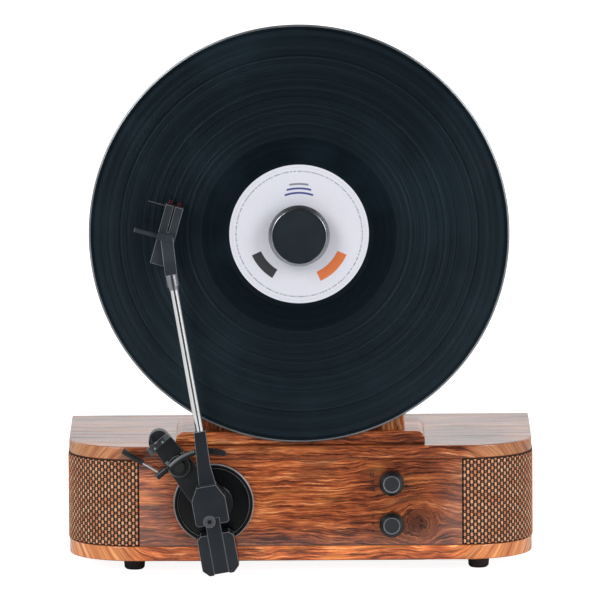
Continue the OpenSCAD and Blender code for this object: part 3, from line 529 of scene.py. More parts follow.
def mouldedFinish(name, colour, smudged, rough, spread=0.14, scale=2500.0, relief=0.1, coat=0.0,
                  metallic=0.0):
    finish, tree, shader = newFinish(name)
    grain = useGroup(tree, mouldedGroup, Scale=scale, Rough=rough, Spread=spread)
    feedAll(shader, {
        "Base Color": blendTone(grain["Smudge"], tone(*colour), tone(*smudged)), "Roughness": grain["Rough"],
        "Metallic": metallic})
    bump(shader, grain["Height"], relief, 0.0001)
    if coat:
        feedAll(shader, {"Coat Weight": coat, "Coat Roughness": 0.08})
    return finish


# turned metal: fine rings or strokes

def makeTurnedGroup():
    group, given, out = startGroup("turnedMetal", dict(Centre=(0.0, 0.0, 0.0), Pitch=3000.0, Rough=0.2),
                                   ("Tint", "Rough", "Height"))
    x, y, z = split(shifted(objectPlace(group), given["Centre"], "SUBTRACT"))
    rings = noise(vector(times(reachOf(x, z), given["Pitch"]), 0.0, times(y, given["Pitch"])), 1.0, 3, 0.6)
    handled = noise(objectPlace(group), 60.0, 3, 0.6)
    feed(out["Tint"], remap(handled, 0.4, 0.7))
    feed(out["Rough"], plus(given["Rough"], times(minus(plus(rings, handled), 1.0), 0.12)))
    feed(out["Height"], rings)
    return group


turnedGroup = makeTurnedGroup()


def turnedFinish(name, colour, worn, rough, centre=(0.0, 0.0, 0.0), pitch=3000.0, relief=0.05):
    finish, tree, shader = newFinish(name)
    grain = useGroup(tree, turnedGroup, Centre=centre, Pitch=pitch, Rough=rough)
    feedAll(shader, {
        "Base Color": blendTone(grain["Tint"], (*colour, 1.0), (*worn, 1.0)), "Roughness": grain["Rough"],
        "Metallic": 1.0})
    bump(shader, grain["Height"], relief, 0.00005)
    return finish


# finishes

panelLow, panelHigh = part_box("front_panel")
# the front's tone falls off from left to right: partly the wood's, partly painted light
frontVeneer = veneerFinish("frontVeneer", (3.1, 0.4, 7.7), 0.93, ior=2.0, KnotX=0.0845, KnotZ=0.0358,
                           KnotSize=0.0124, SeamLow=panelLow.z, SeamHigh=panelHigh.z, Tilt=-2.4)
topVeneer = veneerFinish("topVeneer", (11.3, 4.0, 2.6), 0.72, gloss=0.2, ior=2.25, CornerX=panelHigh.x,
                         EdgeCoat=0.4)
bottomVeneer = veneerFinish("bottomVeneer", (6.7, 9.2, 4.4), 1.42, slant=-0.8, CornerX=panelHigh.x - 0.012)
plinthVeneer = veneerFinish("plinthVeneer", (17.5, 1.3, 9.1), 0.85, gloss=0.25, SeamLow=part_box("plinth")[0].z)
boardVeneer = veneerFinish("boardVeneer", (21.9, 6.1, 3.4), 0.72, Upright=1.0)
sideVeneer = veneerFinish("sideVeneer", (28.4, 2.2, 5.5), 1.0)
backVeneer = veneerFinish("backVeneer", (33.6, 8.8, 1.9), 0.6)

armBlack = mouldedFinish("armBlack", (14, 21, 29), (20, 27, 35), 0.42, 0.16, 1900, 0.14)
armEdgeHighlight = mouldedFinish("armEdgeHighlight", (118, 121, 126), (138, 140, 145), 0.34, 0.1)
restBlack = mouldedFinish("restBlack", (13, 17, 22), (21, 25, 31), 0.4, 0.16, 2100, 0.12)
restEdgeHighlight = mouldedFinish("restEdgeHighlight", (70, 73, 78), (92, 94, 98), 0.32, 0.1)
bezelBlack = mouldedFinish("bezelBlack", (4, 5, 8), (7, 9, 12), 0.22, 0.08, 3200, 0.05)
turretBlackAndPadShade = mouldedFinish("turretBlackAndPadShade", (6, 8, 10), (9, 11, 13), 0.7, 0.1, 2200, 0.1)
bezelRimHighlight = mouldedFinish("bezelRimHighlight", (148, 151, 155), (172, 174, 177), 0.18, 0.08, 3200, 0.04, metallic=0.4)
clampBlack = mouldedFinish("clampBlack", (5, 20, 28), (10, 26, 34), 0.44, 0.14, 2600, 0.1)
knobBlack = mouldedFinish("knobBlack", (10, 11, 14), (15, 16, 19), 0.3, 0.1, 2600, 0.06)
knobFace = mouldedFinish("knobFace", (30, 34, 39), (37, 41, 46), 0.46, 0.12, 2600, 0.08)
knobEdgeHighlight = mouldedFinish("knobEdgeHighlight", (104, 108, 113), (126, 129, 133), 0.24, 0.1, 2600, 0.05, coat=0.6)
frameBrown = mouldedFinish("frameBrown", (44, 24, 15), (58, 34, 22), 0.7, 0.12, 1200, 0.2)
coverBlack = mouldedFinish("coverBlack", (28, 28, 30), (36, 36, 38), 0.55, 0.14, 1500, 0.3)
footRubber = mouldedFinish("footRubber", (22, 22, 22), (31, 30, 30), 0.68, 0.16, 1400, 0.25)
beltRubber = mouldedFinish("beltRubber", (16, 16, 16), (26, 26, 26), 0.6, 0.14, 1700, 0.2)
shellGrey = mouldedFinish("shellGrey", (31, 38, 45), (38, 45, 52), 0.42, 0.14, 1900, 0.12)
latchDarkAndEdgeHighlight = mouldedFinish("latchDarkAndEdgeHighlight", (28, 31, 36), (38, 41, 46), 0.3, 0.12, 2600, 0.06)
latchPale = mouldedFinish("latchPale", (56, 59, 62), (70, 73, 75), 0.3, 0.12, 2600, 0.06)
hookPale = mouldedFinish("hookPale", (108, 112, 114), (130, 133, 134), 0.3, 0.12, 2600, 0.06)
ribPale = mouldedFinish("ribPale", (168, 171, 173), (188, 190, 191), 0.42, 0.1)
stylusRed = mouldedFinish("stylusRed", (62, 12, 19), (84, 20, 28), 0.3, 0.1)
boardGreen = mouldedFinish("boardGreen", (30, 92, 56), (40, 110, 66), 0.4, 0.1)
fibreTan = mouldedFinish("fibreTan", (150, 118, 84), (170, 138, 102), 0.85, 0.1, 900, 0.4)
conePaper = mouldedFinish("conePaper", (30, 29, 28), (40, 39, 38), 0.8, 0.1, 900, 0.4)
vinylRimSheen = mouldedFinish("vinylRimSheen", (118, 122, 126), (136, 140, 144), 0.24, 0.1, 2600, 0.04, metallic=0.6)
inkBlack = mouldedFinish("inkBlack", (12, 9, 8), (18, 14, 12), 0.6, 0.1)
screwGrey = mouldedFinish("screwGrey", (66, 69, 74), (78, 81, 86), 0.36, 0.12)
recessShade = mouldedFinish("recessShade", (8, 8, 9), (12, 12, 13), 0.6, 0.1)
ringRed = mouldedFinish("socketRingRight", (168, 32, 34), (168, 32, 34), 0.4, 0.12)
ringWhite = mouldedFinish("socketRingLeft", (226, 224, 218), (226, 224, 218), 0.4, 0.12)

onSpindle = (0.0, 0.0, spindle.z)
chrome = turnedFinish("chrome", (0.78, 0.79, 0.8), (0.7, 0.71, 0.72), 0.09, relief=0.02)
satinRing = turnedFinish("satinRing", (0.36, 0.37, 0.39), (0.3, 0.31, 0.33), 0.2, onSpindle)
collarMetal = turnedFinish("collarMetal", (0.26, 0.27, 0.29), (0.2, 0.21, 0.23), 0.28)
satinMetal = turnedFinish("satinMetal", (0.55, 0.56, 0.57), (0.45, 0.46, 0.47), 0.26)
platterMetal = turnedFinish("platterMetal", (0.7, 0.71, 0.72), (0.6, 0.61, 0.62), 0.28, onSpindle)
screwMetal = turnedFinish("screwMetal", (0.42, 0.42, 0.43), (0.32, 0.32, 0.33), 0.32)
brassMetal = turnedFinish("brassMetal", (0.78, 0.56, 0.22), (0.62, 0.42, 0.15), 0.24, onSpindle)
wireMetal = turnedFinish("wireMetal", (0.16, 0.17, 0.18), (0.12, 0.13, 0.14), 0.4)
print("finishes ready")


# wooden base and back board

boards = {
    "top_board": ("topBoard", topVeneer, 1.1),
    "bottom_board": ("bottomBoard", bottomVeneer, 1.1),
    "front_panel": ("frontPanel", frontVeneer, 0.35),
    "left_side_panel": ("leftSidePanel", sideVeneer, 0.35),
    "right_side_panel": ("rightSidePanel", sideVeneer, 0.35),
    "back_panel": ("backPanel", backVeneer, 0.4),
    "plinth": ("plinthBlock", plinthVeneer, 0.8),
    "back_board": ("uprightBoard", boardVeneer, 1.2),
}
for node, (name, finish, width) in boards.items():
    edged(node, name, [finish], width, 3)
print("boards done")


# speaker cloth: staggered upright floats of tan yarn on a dark ground

cloth = dict(columns=40, rows=13, perColumn=6, perRow=8, rise=0.42, thickness=0.5, halfWidth=0.32,
             halfLength=0.29, cornerIn=1.0, hem=0.8, hemSlope=0.4)


def floatHeight(u, v):
    # 0 in the ground, 1 on the crown of a float; u and v count columns and rows
    column = math.floor(u)
    across = (u - column - 0.5) / cloth["halfWidth"]
    shiftedV = v + (0.5 if column % 2 else 0.0)
    along = (shiftedV - math.floor(shiftedV) - 0.5) / cloth["halfLength"]
    return max(0.0, 1.0 - abs(across) ** 3 - along ** 4) ** 0.5


def makeClothFinish():
    finish, tree, shader = newFinish("speakerCloth")
    edgeU, edgeV = split(tree.nodes.new("ShaderNodeTexCoord").outputs["UV"])[:2]
    u = times(edgeU, float(cloth["columns"]))
    column = calc("FLOOR", u)
    fromMiddle = minus(u, column, 0.5)
    across = calc("DIVIDE", calc("ABSOLUTE", fromMiddle), cloth["halfWidth"])
    v = plus(times(edgeV, float(cloth["rows"])), times(calc("MODULO", column, 2.0), 0.5))
    row = calc("FLOOR", v)
    upTo = calc("ABSOLUTE", minus(v, row, 0.5))
    along = calc("DIVIDE", upTo, cloth["halfLength"])
    shape = plus(calc("POWER", across, 3.0), calc("POWER", along, 4.0))
    mask = remap(shape, 1.2, 0.75)
    lot = tree.nodes.new("ShaderNodeTexWhiteNoise")
    lot.noise_dimensions = "2D"
    feed(lot.inputs["Vector"], vector(column, row, 0.0))
    strands = noise(vector(times(u, 7.0), times(v, 1.4), 0.0), 1.0, 3, 0.6)
    yarn = blendTone(lot.outputs["Value"], tone(214, 136, 96), tone(238, 190, 152))
    # each float darkens towards its edges: painted shade of the rounded yarn
    yarn = blendTone(remap(shape, 0.4, 1.2), yarn, tone(152, 92, 64))
    yarn = blendTone(times(remap(strands, 0.6, 0.34), 0.6), yarn, tone(150, 90, 62))
    # the dark weft has a painted dull glint where it crosses between two floats, brown yarn beside them
    glint = plus(calc("POWER", calc("DIVIDE", fromMiddle, 0.26), 2.0),
                 calc("POWER", calc("DIVIDE", minus(0.5, upTo), 0.11), 2.0))
    ground = blendTone(remap(strands, 0.35, 0.65), tone(60, 35, 25), tone(114, 73, 51))
    ground = blendTone(remap(upTo, 0.27, 0.37), ground, tone(26, 20, 18))
    ground = blendTone(times(remap(glint, 1.1, 0.2), 0.85), ground, tone(132, 122, 112))
    weave = blendTone(mask, ground, yarn)
    # the edges tuck into a gap; painted shade darkens them there
    sides = most(remap(edgeU, 0.011, 0.005), most(remap(edgeV, 0.008, 0.004), remap(edgeV, 0.990, 0.996)))
    feedAll(shader, {
        "Base Color": blendTone(times(sides, 0.88), weave, tone(24, 14, 10)),
        "Roughness": remap(strands, 0.3, 0.7, 0.92, 0.72), "Sheen Weight": 0.06, "Specular IOR Level": 0.12})
    bump(shader, strands, 0.5, 0.0002)
    return finish


clothFinish = makeClothFinish()


def stretchCloth(node, name, side):
    low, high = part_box(node)
    tall = high.z - low.z
    cornerX = panelHigh.x + cloth["cornerIn"] * mm
    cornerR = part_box("top_board")[1].x - cornerX
    startX = min(abs(low.x), abs(high.x))
    outer = max(abs(low.x), abs(high.x)) - cornerX  # radius of the cloth's face
    flatLength = cornerX - startX
    arcLength = outer * math.pi / 2
    total = flatLength + arcLength + high.y - (frontY + cornerR)
    clearSelection()
    bpy.ops.mesh.primitive_grid_add(x_subdivisions=cloth["columns"] * cloth["perColumn"],
                                    y_subdivisions=cloth["rows"] * cloth["perRow"], size=1, calc_uvs=True)
    piece = bpy.context.object
    piece.name = name
    justInside = 0.99999  # the last row and column count as the ones before them
    for vertex in piece.data.vertices:
        u, v = vertex.co.x + 0.5, vertex.co.y + 0.5
        edge = min(u * total, (1 - u) * total, v * tall, (1 - v) * tall)
        lift = floatHeight(u * cloth["columns"] * justInside, v * cloth["rows"] * justInside) - 1.0
        depth = lift * cloth["rise"] * mm - max(0.0, cloth["hem"] * mm - edge) * cloth["hemSlope"]
        run = u * total
        if run <= flatLength:
            x, y = startX + run, frontY - (outer - cornerR) - depth
        elif run <= flatLength + arcLength:
            turn = (run - flatLength) / outer
            x = cornerX + math.sin(turn) * (outer + depth)
            y = frontY + cornerR - math.cos(turn) * (outer + depth)
        else:
            x, y = cornerX + outer + depth, frontY + cornerR + run - flatLength - arcLength
        vertex.co = (side * x, y, low.z + v * tall)
    if side < 0:
        openUp(piece)
        bpy.ops.mesh.flip_normals()
        closeUp()
    wall = piece.modifiers.new("wall", "SOLIDIFY")
    wall.thickness = cloth["thickness"] * mm
    wall.offset = -1
    applyModifiers(piece)
    smoothBy(piece, 60)
    standFor(dress(piece, clothFinish), node)


stretchCloth("left_grille_cloth", "leftCloth", -1)
stretchCloth("right_grille_cloth", "rightCloth", 1)
print("cloth stretched")


# record: rim, grooved bands with smooth gaps between the tracks, run-out

disc = dict(radius=150.8, hole=3.6, labelRadius=50.0, labelDepth=0.15, face=-2.0, back=-4.0, bevel=1.4,
            runOut=(52.5, 53.0, 55.0, 55.5), runOutDepth=0.12, bandEnd=147.6,
            gaps=(146.0, 128.5, 113.0, 99.5, 84.0, 71.0), gapWidth=1.1, gapDepth=0.018)


def discSide(face, sign):
    seat = disc["labelRadius"]
    runOut = face - sign * disc["runOutDepth"]
    profile = [(seat, face - sign * disc["labelDepth"]), (seat, face)]
    profile += zip(disc["runOut"], (face, runOut, runOut, face))
    half = disc["gapWidth"] / 2
    sunk = face - sign * disc["gapDepth"]
    for gap in reversed(disc["gaps"]):
        start, end = gap - half, gap + half
        profile += [(start - 0.2, face), (start, sunk), (end, sunk), (end + 0.2, face)]
    inner = disc["radius"] - disc["bevel"]
    profile += [(disc["bandEnd"], face), (inner, face)]
    for step in range(1, 7):
        turn = math.radians(15 * step)
        profile.append((inner + disc["bevel"] * math.sin(turn), face - sign * (1.0 - math.cos(turn))))
    return profile


def makeVinyl():
    finish, tree, shader = newFinish("vinyl")
    place = discPlace(tree)
    x, z = split(place)[::2]
    reach = reachOf(x, z)
    groove = noise(vector(times(reach, 2600.0), 0.0, 0.0), 1.0, 2, 0.6)
    bands = noise(vector(times(reach, 210.0), 3.0, 0.0), 1.0, 3, 0.6)
    dust = noise(place, 900.0, 2, 0.5)
    smudge = noise(place, 14.0, 3, 0.6)
    gaps = 0.0
    for gap in disc["gaps"][1:5]:
        gaps = most(gaps, remap(calc("ABSOLUTE", minus(reach, gap * mm)), 0.0009, 0.0004))
    played = times(remap(reach, 0.0695, 0.0705), remap(reach, 0.1475, 0.1465), minus(1.0, times(gaps, 0.5)))
    colour = blendTone(remap(bands, 0.35, 0.65), tone(2, 8, 14), tone(6, 15, 22))
    colour = blendTone(times(remap(smudge, 0.45, 0.7), 0.5), colour, tone(19, 31, 39))
    colour = blendTone(times(remap(dust, 0.72, 0.8), 0.35), colour, tone(70, 76, 80))
    feedAll(shader, {
        "Base Color": colour, "Roughness": plus(times(played, 0.06), times(bands, 0.12), 0.18),
        "Specular IOR Level": 0.62, "Specular Tint": (0.62, 0.87, 1.0, 1.0)})
    bump(shader, times(groove, remap(played, 0.0, 1.0, 0.4, 1.0, "LINEAR")), 0.7, 0.00022)
    return finish


def makeRecord():
    backEnd = (disc["hole"], disc["back"] + disc["labelDepth"])
    frontEnd = (disc["hole"], disc["face"] - disc["labelDepth"])
    front = discSide(disc["face"], 1)
    profile = [backEnd] + discSide(disc["back"], -1) + front[::-1] + [frontEnd, backEnd]
    record = dress(lathe("record", profile, spindle, 256, 32), makeVinyl(), vinylRimSheen)
    paint(record, 1, lambda p: outFrom(spindle, p) > disc["radius"] - disc["bevel"] + 0.05)  # painted sheen: a pale metallic copy of the vinyl on the bevelled rim
    standFor(record, "record")


makeRecord()


# paper label: plain stock with a broken hairline ring, two arcs and three bars

prints = [
    dict(inner=0.0300, outer=0.0372, start=-1.15, end=-0.42, ink=tone(212, 112, 54)),
    dict(inner=0.0300, outer=0.0372, start=-2.72, end=-2.12, ink=tone(44, 46, 52)),
    dict(inner=0.0290, outer=0.0304, start=1.22, end=1.92, ink=tone(58, 62, 132)),
    dict(inner=0.0322, outer=0.0336, start=1.30, end=1.84, ink=tone(58, 62, 132)),
    dict(inner=0.0354, outer=0.0368, start=1.38, end=1.76, ink=tone(120, 122, 134)),
]


def makeLabelPaper():
    finish, tree, shader = newFinish("labelPaper")
    place = discPlace(tree)
    x, z = split(place)[::2]
    reach = reachOf(x, z)
    turn = calc("ARCTAN2", z, x)

    def between(value, low, high, soft):
        return times(remap(value, low - soft, low + soft), remap(value, high + soft, high - soft))

    fibre = noise(place, 1400.0, 3, 0.6)
    cloud = noise(place, 40.0, 2, 0.5)
    colour = blendTone(remap(fibre, 0.3, 0.7), tone(200, 201, 211), tone(216, 217, 226))
    colour = blendTone(times(remap(cloud, 0.5, 0.8), 0.3), colour, tone(214, 210, 214))
    dashes = noise(vector(times(turn, 34.0), 0.0, 0.0), 1.0, 1, 0.5)
    broken = times(between(reach, 0.0448, 0.0457, 0.0001), remap(dashes, 0.44, 0.5))
    colour = blendTone(times(broken, 0.75), colour, tone(120, 122, 134))
    ringLine = between(reach, 0.0478, 0.0480, 0.00008)
    colour = blendTone(times(ringLine, 0.5), colour, tone(150, 152, 164))
    for area in prints:
        shape = times(between(reach, area["inner"], area["outer"], 0.00012),
                      between(turn, area["start"], area["end"], 0.004))
        colour = blendTone(shape, colour, area["ink"])
    pressed = between(reach, 0.0402, 0.0416, 0.0004)
    feedAll(shader, {"Base Color": colour, "Roughness": remap(fibre, 0.3, 0.7, 0.62, 0.5)})
    bump(shader, minus(times(fibre, 0.25), times(pressed, 0.4)), 0.3, 0.0001)
    return finish


def makeLabels():
    hole, edge = disc["hole"], disc["labelRadius"]
    sides = []
    for face, sign in ((disc["face"], 1), (disc["back"], -1)):
        low = face - sign * disc["labelDepth"]
        profile = [(hole, low), (edge, low), (edge, face - sign * 0.04), (edge - 0.1, face), (hole, face),
                   (hole, low)]
        sides.append(lathe("labelSide", profile, spindle, 160, 30))
    standFor(dress(joinPieces(sides, "recordLabel"), makeLabelPaper()), "record_label")


makeLabels()
print("record done")


# record clamp with a dished face inside a bevelled ring

clamp = dict(radius=22.0, faceRadius=19.0, low=-2.0, front=13.0, ringHeight=5.0, dish=0.5)


def makeClamp():
    rim, inner, low, front, dish = pick(clamp, "radius faceRadius low front dish")
    shoulder = front - clamp["ringHeight"]
    face = front - 0.6
    body = lathe("clampBody", [
        (3.65, low), (18.0, low), (20.2, low + 0.6), (21.0, low + 1.6), (21.0, shoulder - 0.4),
        (20.6, shoulder), (inner, shoulder), (inner, front - 0.75), (inner - 0.4, face),
        (13.0, face - dish * 0.5), (6.0, face - dish), (0.0, front - 0.65 - dish)], spindle, 128, 30)
    standFor(dress(body, clampBlack), "record_clamp")
    ring = lathe("clampRing", [
        (inner, shoulder), (rim - 0.3, shoulder), (rim, shoulder + 0.3), (rim, front - 3.7),
        (rim - 0.2, front - 3.4), (inner + 0.75, front - 0.15), (inner + 0.4, front), (inner + 0.1, front),
        (inner, front - 0.15), (inner, shoulder)], spindle, 128, 24)
    standFor(dress(ring, satinRing), "clamp_ring")


makeClamp()


# knobs: dished cap, bevel, straight skirt; a pale ring round the cap is painted highlight

knob = dict(radius=8.9, face=5.6, low=0.3, high=12.3, stem=3.0, stemEnd=-14.0)
speedPlace, sourcePlace = middleOf("speed_knob"), middleOf("source_knob")


def makeKnob(name, centre):
    rim, face, low, high, stem, end = pick(knob, "radius face low high stem stemEnd")
    piece = lathe(name, [
        (0.0, end), (stem - 0.3, end), (stem, end + 0.3), (stem, low), (rim - 0.3, low), (rim, low + 0.3),
        (rim, high - 3.2), (rim - 0.2, high - 2.6), (rim - 0.7, high - 1.9), (face + 0.9, high - 0.35),
        (face + 0.45, high), (face + 0.1, high), (face - 0.25, high - 0.3), (face - 0.5, high - 0.55),
        (2.0, high - 0.75), (0.0, high - 0.75)], centre, 96, 26)
    dress(piece, knobBlack, knobEdgeHighlight, knobFace)
    paint(piece, 2, lambda p: outFrom(centre, p) < face - 0.3 and tallAt(p) > low)
    # painted highlight: a pale ring round the cap's edge
    paint(piece, 1, lambda p: face - 0.15 < outFrom(centre, p) < face + 0.5 and tallAt(p) > high - 0.4)
    return piece


speedKnob = makeKnob("speedKnob", speedPlace)
sourceKnob = copyOf(speedKnob, "sourceKnob", Matrix.Translation(sourcePlace - speedPlace))
standFor(speedKnob, "speed_knob")
standFor(sourceKnob, "source_knob")


# printed marks left of the knobs: three speeds, three dots

marks = dict(words=("33", "45", "78"), size=3.8, spacing=5.3, lift=0.03, thickness=0.02, bold=0.13,
             dotRadius=0.85, wordGap=12.1, dotGap=13.5)


def printMark(i, word):
    clearSelection()
    bpy.ops.object.text_add(location=(speedPlace.x - marks["wordGap"] * mm, frontY - marks["lift"] * mm,
                                      speedPlace.z + (1 - i) * marks["spacing"] * mm),
                            rotation=(math.pi / 2, 0, 0))
    letters = bpy.context.object.data
    letters.body = word
    letters.size = marks["size"] * mm
    letters.align_x = "RIGHT"
    letters.align_y = "CENTER"
    letters.extrude = marks["thickness"] * mm
    letters.offset = marks["bold"] * mm
    bpy.ops.object.convert(target="MESH")
    addTo(dress(settle("speedMark" + str(i)), inkBlack), "front_panel")


def printDots():
    clearSelection()
    step = marks["spacing"] * mm
    place = (sourcePlace.x - marks["dotGap"] * mm, frontY - marks["lift"] * mm, sourcePlace.z + step)
    bpy.ops.mesh.primitive_cylinder_add(
        vertices=20, radius=marks["dotRadius"] * mm, depth=2 * marks["thickness"] * mm, location=place,
        rotation=(math.pi / 2, 0, 0))
    first = settle("sourceMark0")
    softenEdges(first, 0.012)
    dots = [first]
    for i in (1, 2):
        dots.append(copyOf(first, "sourceMark" + str(i), Matrix.Translation((0, 0, -i * step))))
    for dot in dots:
        addTo(dress(dot, inkBlack), "front_panel")


for i, word in enumerate(marks["words"]):
    printMark(i, word)
printDots()
print("knobs done")


# tonearm bezel: dished disc whose two rims are painted pale as highlight

bezel = dict(radius=29.0, lip=25.5, height=5.0, floor=3.0, hub=8.0, bore=4.05, hubEnd=-10.0,
             ring=(13.5, 14.5))


def makeBezel():
    rim, lip, top, floor, hub, bore, end = pick(bezel, "radius lip height floor hub bore hubEnd")
    ringIn, ringOut = bezel["ring"]
    piece = lathe("armBezel", [
        (bore, end), (hub, end), (hub, 0.0), (rim, 0.0), (rim, top - 1.5), (rim - 0.35, top - 0.95),
        (rim - 0.9, top - 0.1), (rim - 1.1, top), (lip + 0.9, top), (lip + 0.35, top - 0.15),
        (lip, top - 0.55), (lip - 0.1, floor + 0.4), (lip - 0.5, floor), (ringOut, floor),
        (ringOut - 0.3, floor - 0.2), (ringIn + 0.3, floor - 0.2), (ringIn, floor), (bore, floor),
        (bore, end)], pivot, 160, 24)
    dress(piece, bezelBlack, bezelRimHighlight)
    # painted highlight on the outer rim and the lip's edge
    paint(piece, 1, lambda p: outFrom(pivot, p) > rim - 1.0 and tallAt(p) > top - 1.5)
    paint(piece, 1, lambda p: lip < outFrom(pivot, p) < lip + 0.6 and tallAt(p) > top - 0.6)
    standFor(piece, "arm_bezel")


makeBezel()


# tonearm, rest and cueing pieces, cover, socket plate and feet; a second finish, where given, is a paler copy
# on the edges: painted highlight

edgedPieces = {
    "arm_turret": ("armTurret", 0.2, turretBlackAndPadShade),
    "arm_housing": ("armHousing", 0.27, armBlack, armEdgeHighlight),
    "arm_stub": ("armStub", 0.2, armBlack, armEdgeHighlight),
    "counterweight": ("counterweightBlock", 0.27, armBlack, armEdgeHighlight),
    "stylus": ("stylusHolder", 0.15, stylusRed),
    "rest_plate": ("restPlate", 0.3, restBlack, restEdgeHighlight),
    "rest_cradle": ("restCradle", 0.3, restBlack, latchDarkAndEdgeHighlight),
    "cue_boss": ("cueBoss", 0.25, restBlack, armEdgeHighlight),
    "cue_grip": ("cueGrip", 0.4, restBlack),
    "tube_collar": ("tubeCollar", 0.25, collarMetal),
    "motor_cover": ("motorCover", 0.6, coverBlack),
    "jack_plate": ("socketPlate", 0.3, coverBlack),
    "feet": ("rubberFeet", 0.4, footRubber),
}
for node, (name, width, *finishes) in edgedPieces.items():
    edged(node, name, finishes, width)

lean = dict(arm=9.8, rest=39.0)  # degrees to the left of upright


def leaning(degrees):
    turn = math.radians(degrees)
    return Vector((-math.sin(turn), 0, math.cos(turn))), Vector((math.cos(turn), 0, math.sin(turn)))


def placesOn(upward, sideways):
    # a place in mm: from the arm's pivot along and across a leaning piece, and in front of the base
    def place(along, across, tall):
        return pivot + (upward * along + sideways * across + Vector((0, -tall, 0))) * mm
    return place


armAlong, armAcross = leaning(lean["arm"])
restAlong, restAcross = leaning(lean["rest"])
restTurn = math.radians(-lean["rest"])
armPoint = placesOn(armAlong, armAcross)
restPoint = placesOn(restAlong, restAcross)


# sleeve with a seam where its upper end is pressed on; its edges carry the painted highlight
sleeveSeam = dict(along=47.3, half=0.2, tall=20.0)
seamMiddle = armPoint(sleeveSeam["along"], 0, sleeveSeam["tall"])
edged("arm_sleeve", "armSleeve", [armBlack, armEdgeHighlight, shellGrey], 0.27,
      cuts=[(seamMiddle + armAlong * side * sleeveSeam["half"] * mm, armAlong) for side in (-1, 1)],
      areas=[(2, lambda p: abs((p - seamMiddle).dot(armAlong)) < sleeveSeam["half"] * mm)])

# clamping screw of the counterweight's stub: pale head with painted highlight on its edges, its socket painted
# black as shade
stubSocket = dict(radius=1.62, rim=0.02)
stubMiddle = middleOf("stub_screw")
stubTop = tallAt(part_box("stub_screw")[0])
edged("stub_screw", "stubScrew", [screwGrey, armEdgeHighlight, recessShade], 0.25,
      areas=[(2, lambda p: outFrom(stubMiddle, p) < stubSocket["radius"]
              and tallAt(p) < stubTop - stubSocket["rim"])])

# cartridge: dark body with painted highlight on its edges, guard wire at its side
wireReach = 13.5  # mm from the cartridge's left side
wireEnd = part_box("cartridge")[0].x + wireReach * mm
edged("cartridge", "cartridgeBody", [restBlack, restEdgeHighlight, wireMetal], 0.2,
      areas=[(2, lambda p: p.x < wireEnd)])

# cueing lever: bright rod, black hub whose end carries the painted highlight of the edges
leverHub = dict(place=(41.4, 0, 8.75), radius=2.6, start=-16.8, capEnd=-16.3)
hubPlace = restPoint(*leverHub["place"])


def onHub(point):
    seen = point - hubPlace
    return math.hypot(seen.dot(restAlong), seen.y) < leverHub["radius"] * mm


def alongHub(point):
    return (point - hubPlace).dot(restAcross) / mm


edged("cue_lever", "cueLever", [chrome, restBlack, armEdgeHighlight], 0.2, edgeSlot=-1,
      areas=[(1, lambda p: onHub(p) and alongHub(p) > leverHub["start"]),
             (2, lambda p: onHub(p) and alongHub(p) < leverHub["capEnd"])])

# headshell: grey body with painted highlight on its edges, its slot painted black as shade
shellSlot = dict(low=17.6, high=20.7)
edged("headshell", "headshellBody", [shellGrey, armEdgeHighlight, recessShade], 0.22,
      areas=[(2, lambda p: shellSlot["low"] < tallAt(p) < shellSlot["high"])])

# finger lift, with painted highlight on its edges, and the saddle that holds it over the neck
edged("finger_lift", "fingerLift", [shellGrey, armEdgeHighlight], 0.22)
shellPlace = dict(along=198.65, across=1.75, turn=25.3)
saddle = dict(x=(-6.6, 4.7), y=(-3.6, 1.1), tall=(21.0, 26.0), soft=0.2)


def shellPoint(x, y, tall):
    turn = math.radians(shellPlace["turn"])
    return armPoint(shellPlace["along"] - x * math.sin(turn) + y * math.cos(turn),
                    shellPlace["across"] + x * math.cos(turn) + y * math.sin(turn), tall)


def makeSaddle():
    spans = pick(saddle, "x y tall")
    middle = shellPoint(*[(low + high) / 2 for low, high in spans])
    wide, long, deep = [high - low for low, high in spans]
    block = addBlock("liftSaddle", middle, (wide, deep, long), math.radians(shellPlace["turn"] - lean["arm"]),
                     saddle["soft"])
    addTo(dress(block, shellGrey), "headshell")


makeSaddle()

# latch: dark bar with pale ends and small hooks; its edges carry the painted highlight
latchEnds = (-7.4, 4.8)
edged("rest_latch", "restLatch", [latchDarkAndEdgeHighlight, restEdgeHighlight, latchPale], 0.25,
      cuts=[(restPoint(0, end, 29), restAcross) for end in latchEnds],
      areas=[(2, lambda p: not latchEnds[0] < (p - pivot).dot(restAcross) / mm < latchEnds[1])])
hooks = [
    dict(along=63.2, across=-1.5, size=(2.2, 0.6, 0.9)),
    dict(along=60.4, across=2.6, size=(1.4, 0.6, 1.6)),
    dict(along=60.2, across=-4.6, size=(1.4, 0.6, 1.4)),
]
hookPieces = [addBlock("hook", restPoint(hook["along"], hook["across"], 29.95), hook["size"], restTurn, 0.15)
              for hook in hooks]
addTo(dress(joinPieces(hookPieces, "latchHooks"), hookPale), "rest_latch")

# lifter: painted highlight along its bar's edges, painted shade on the pad below
padTop = 15.7
edged("cue_lifter", "cueLifter", [restBlack, latchDarkAndEdgeHighlight, turretBlackAndPadShade], 0.35,
      areas=[(2, lambda p: tallAt(p) < padTop)])

# ribbed strip on the lifter where the tonearm may rest
ribs = dict(radius=37.1, centre=(5.4, -1.2), start=-7.0, end=24.0, count=18, tick=(0.42, 0.14, 1.5),
            edge=(1.25, 0.14, 0.2), edgeOut=0.85, top=16.2)


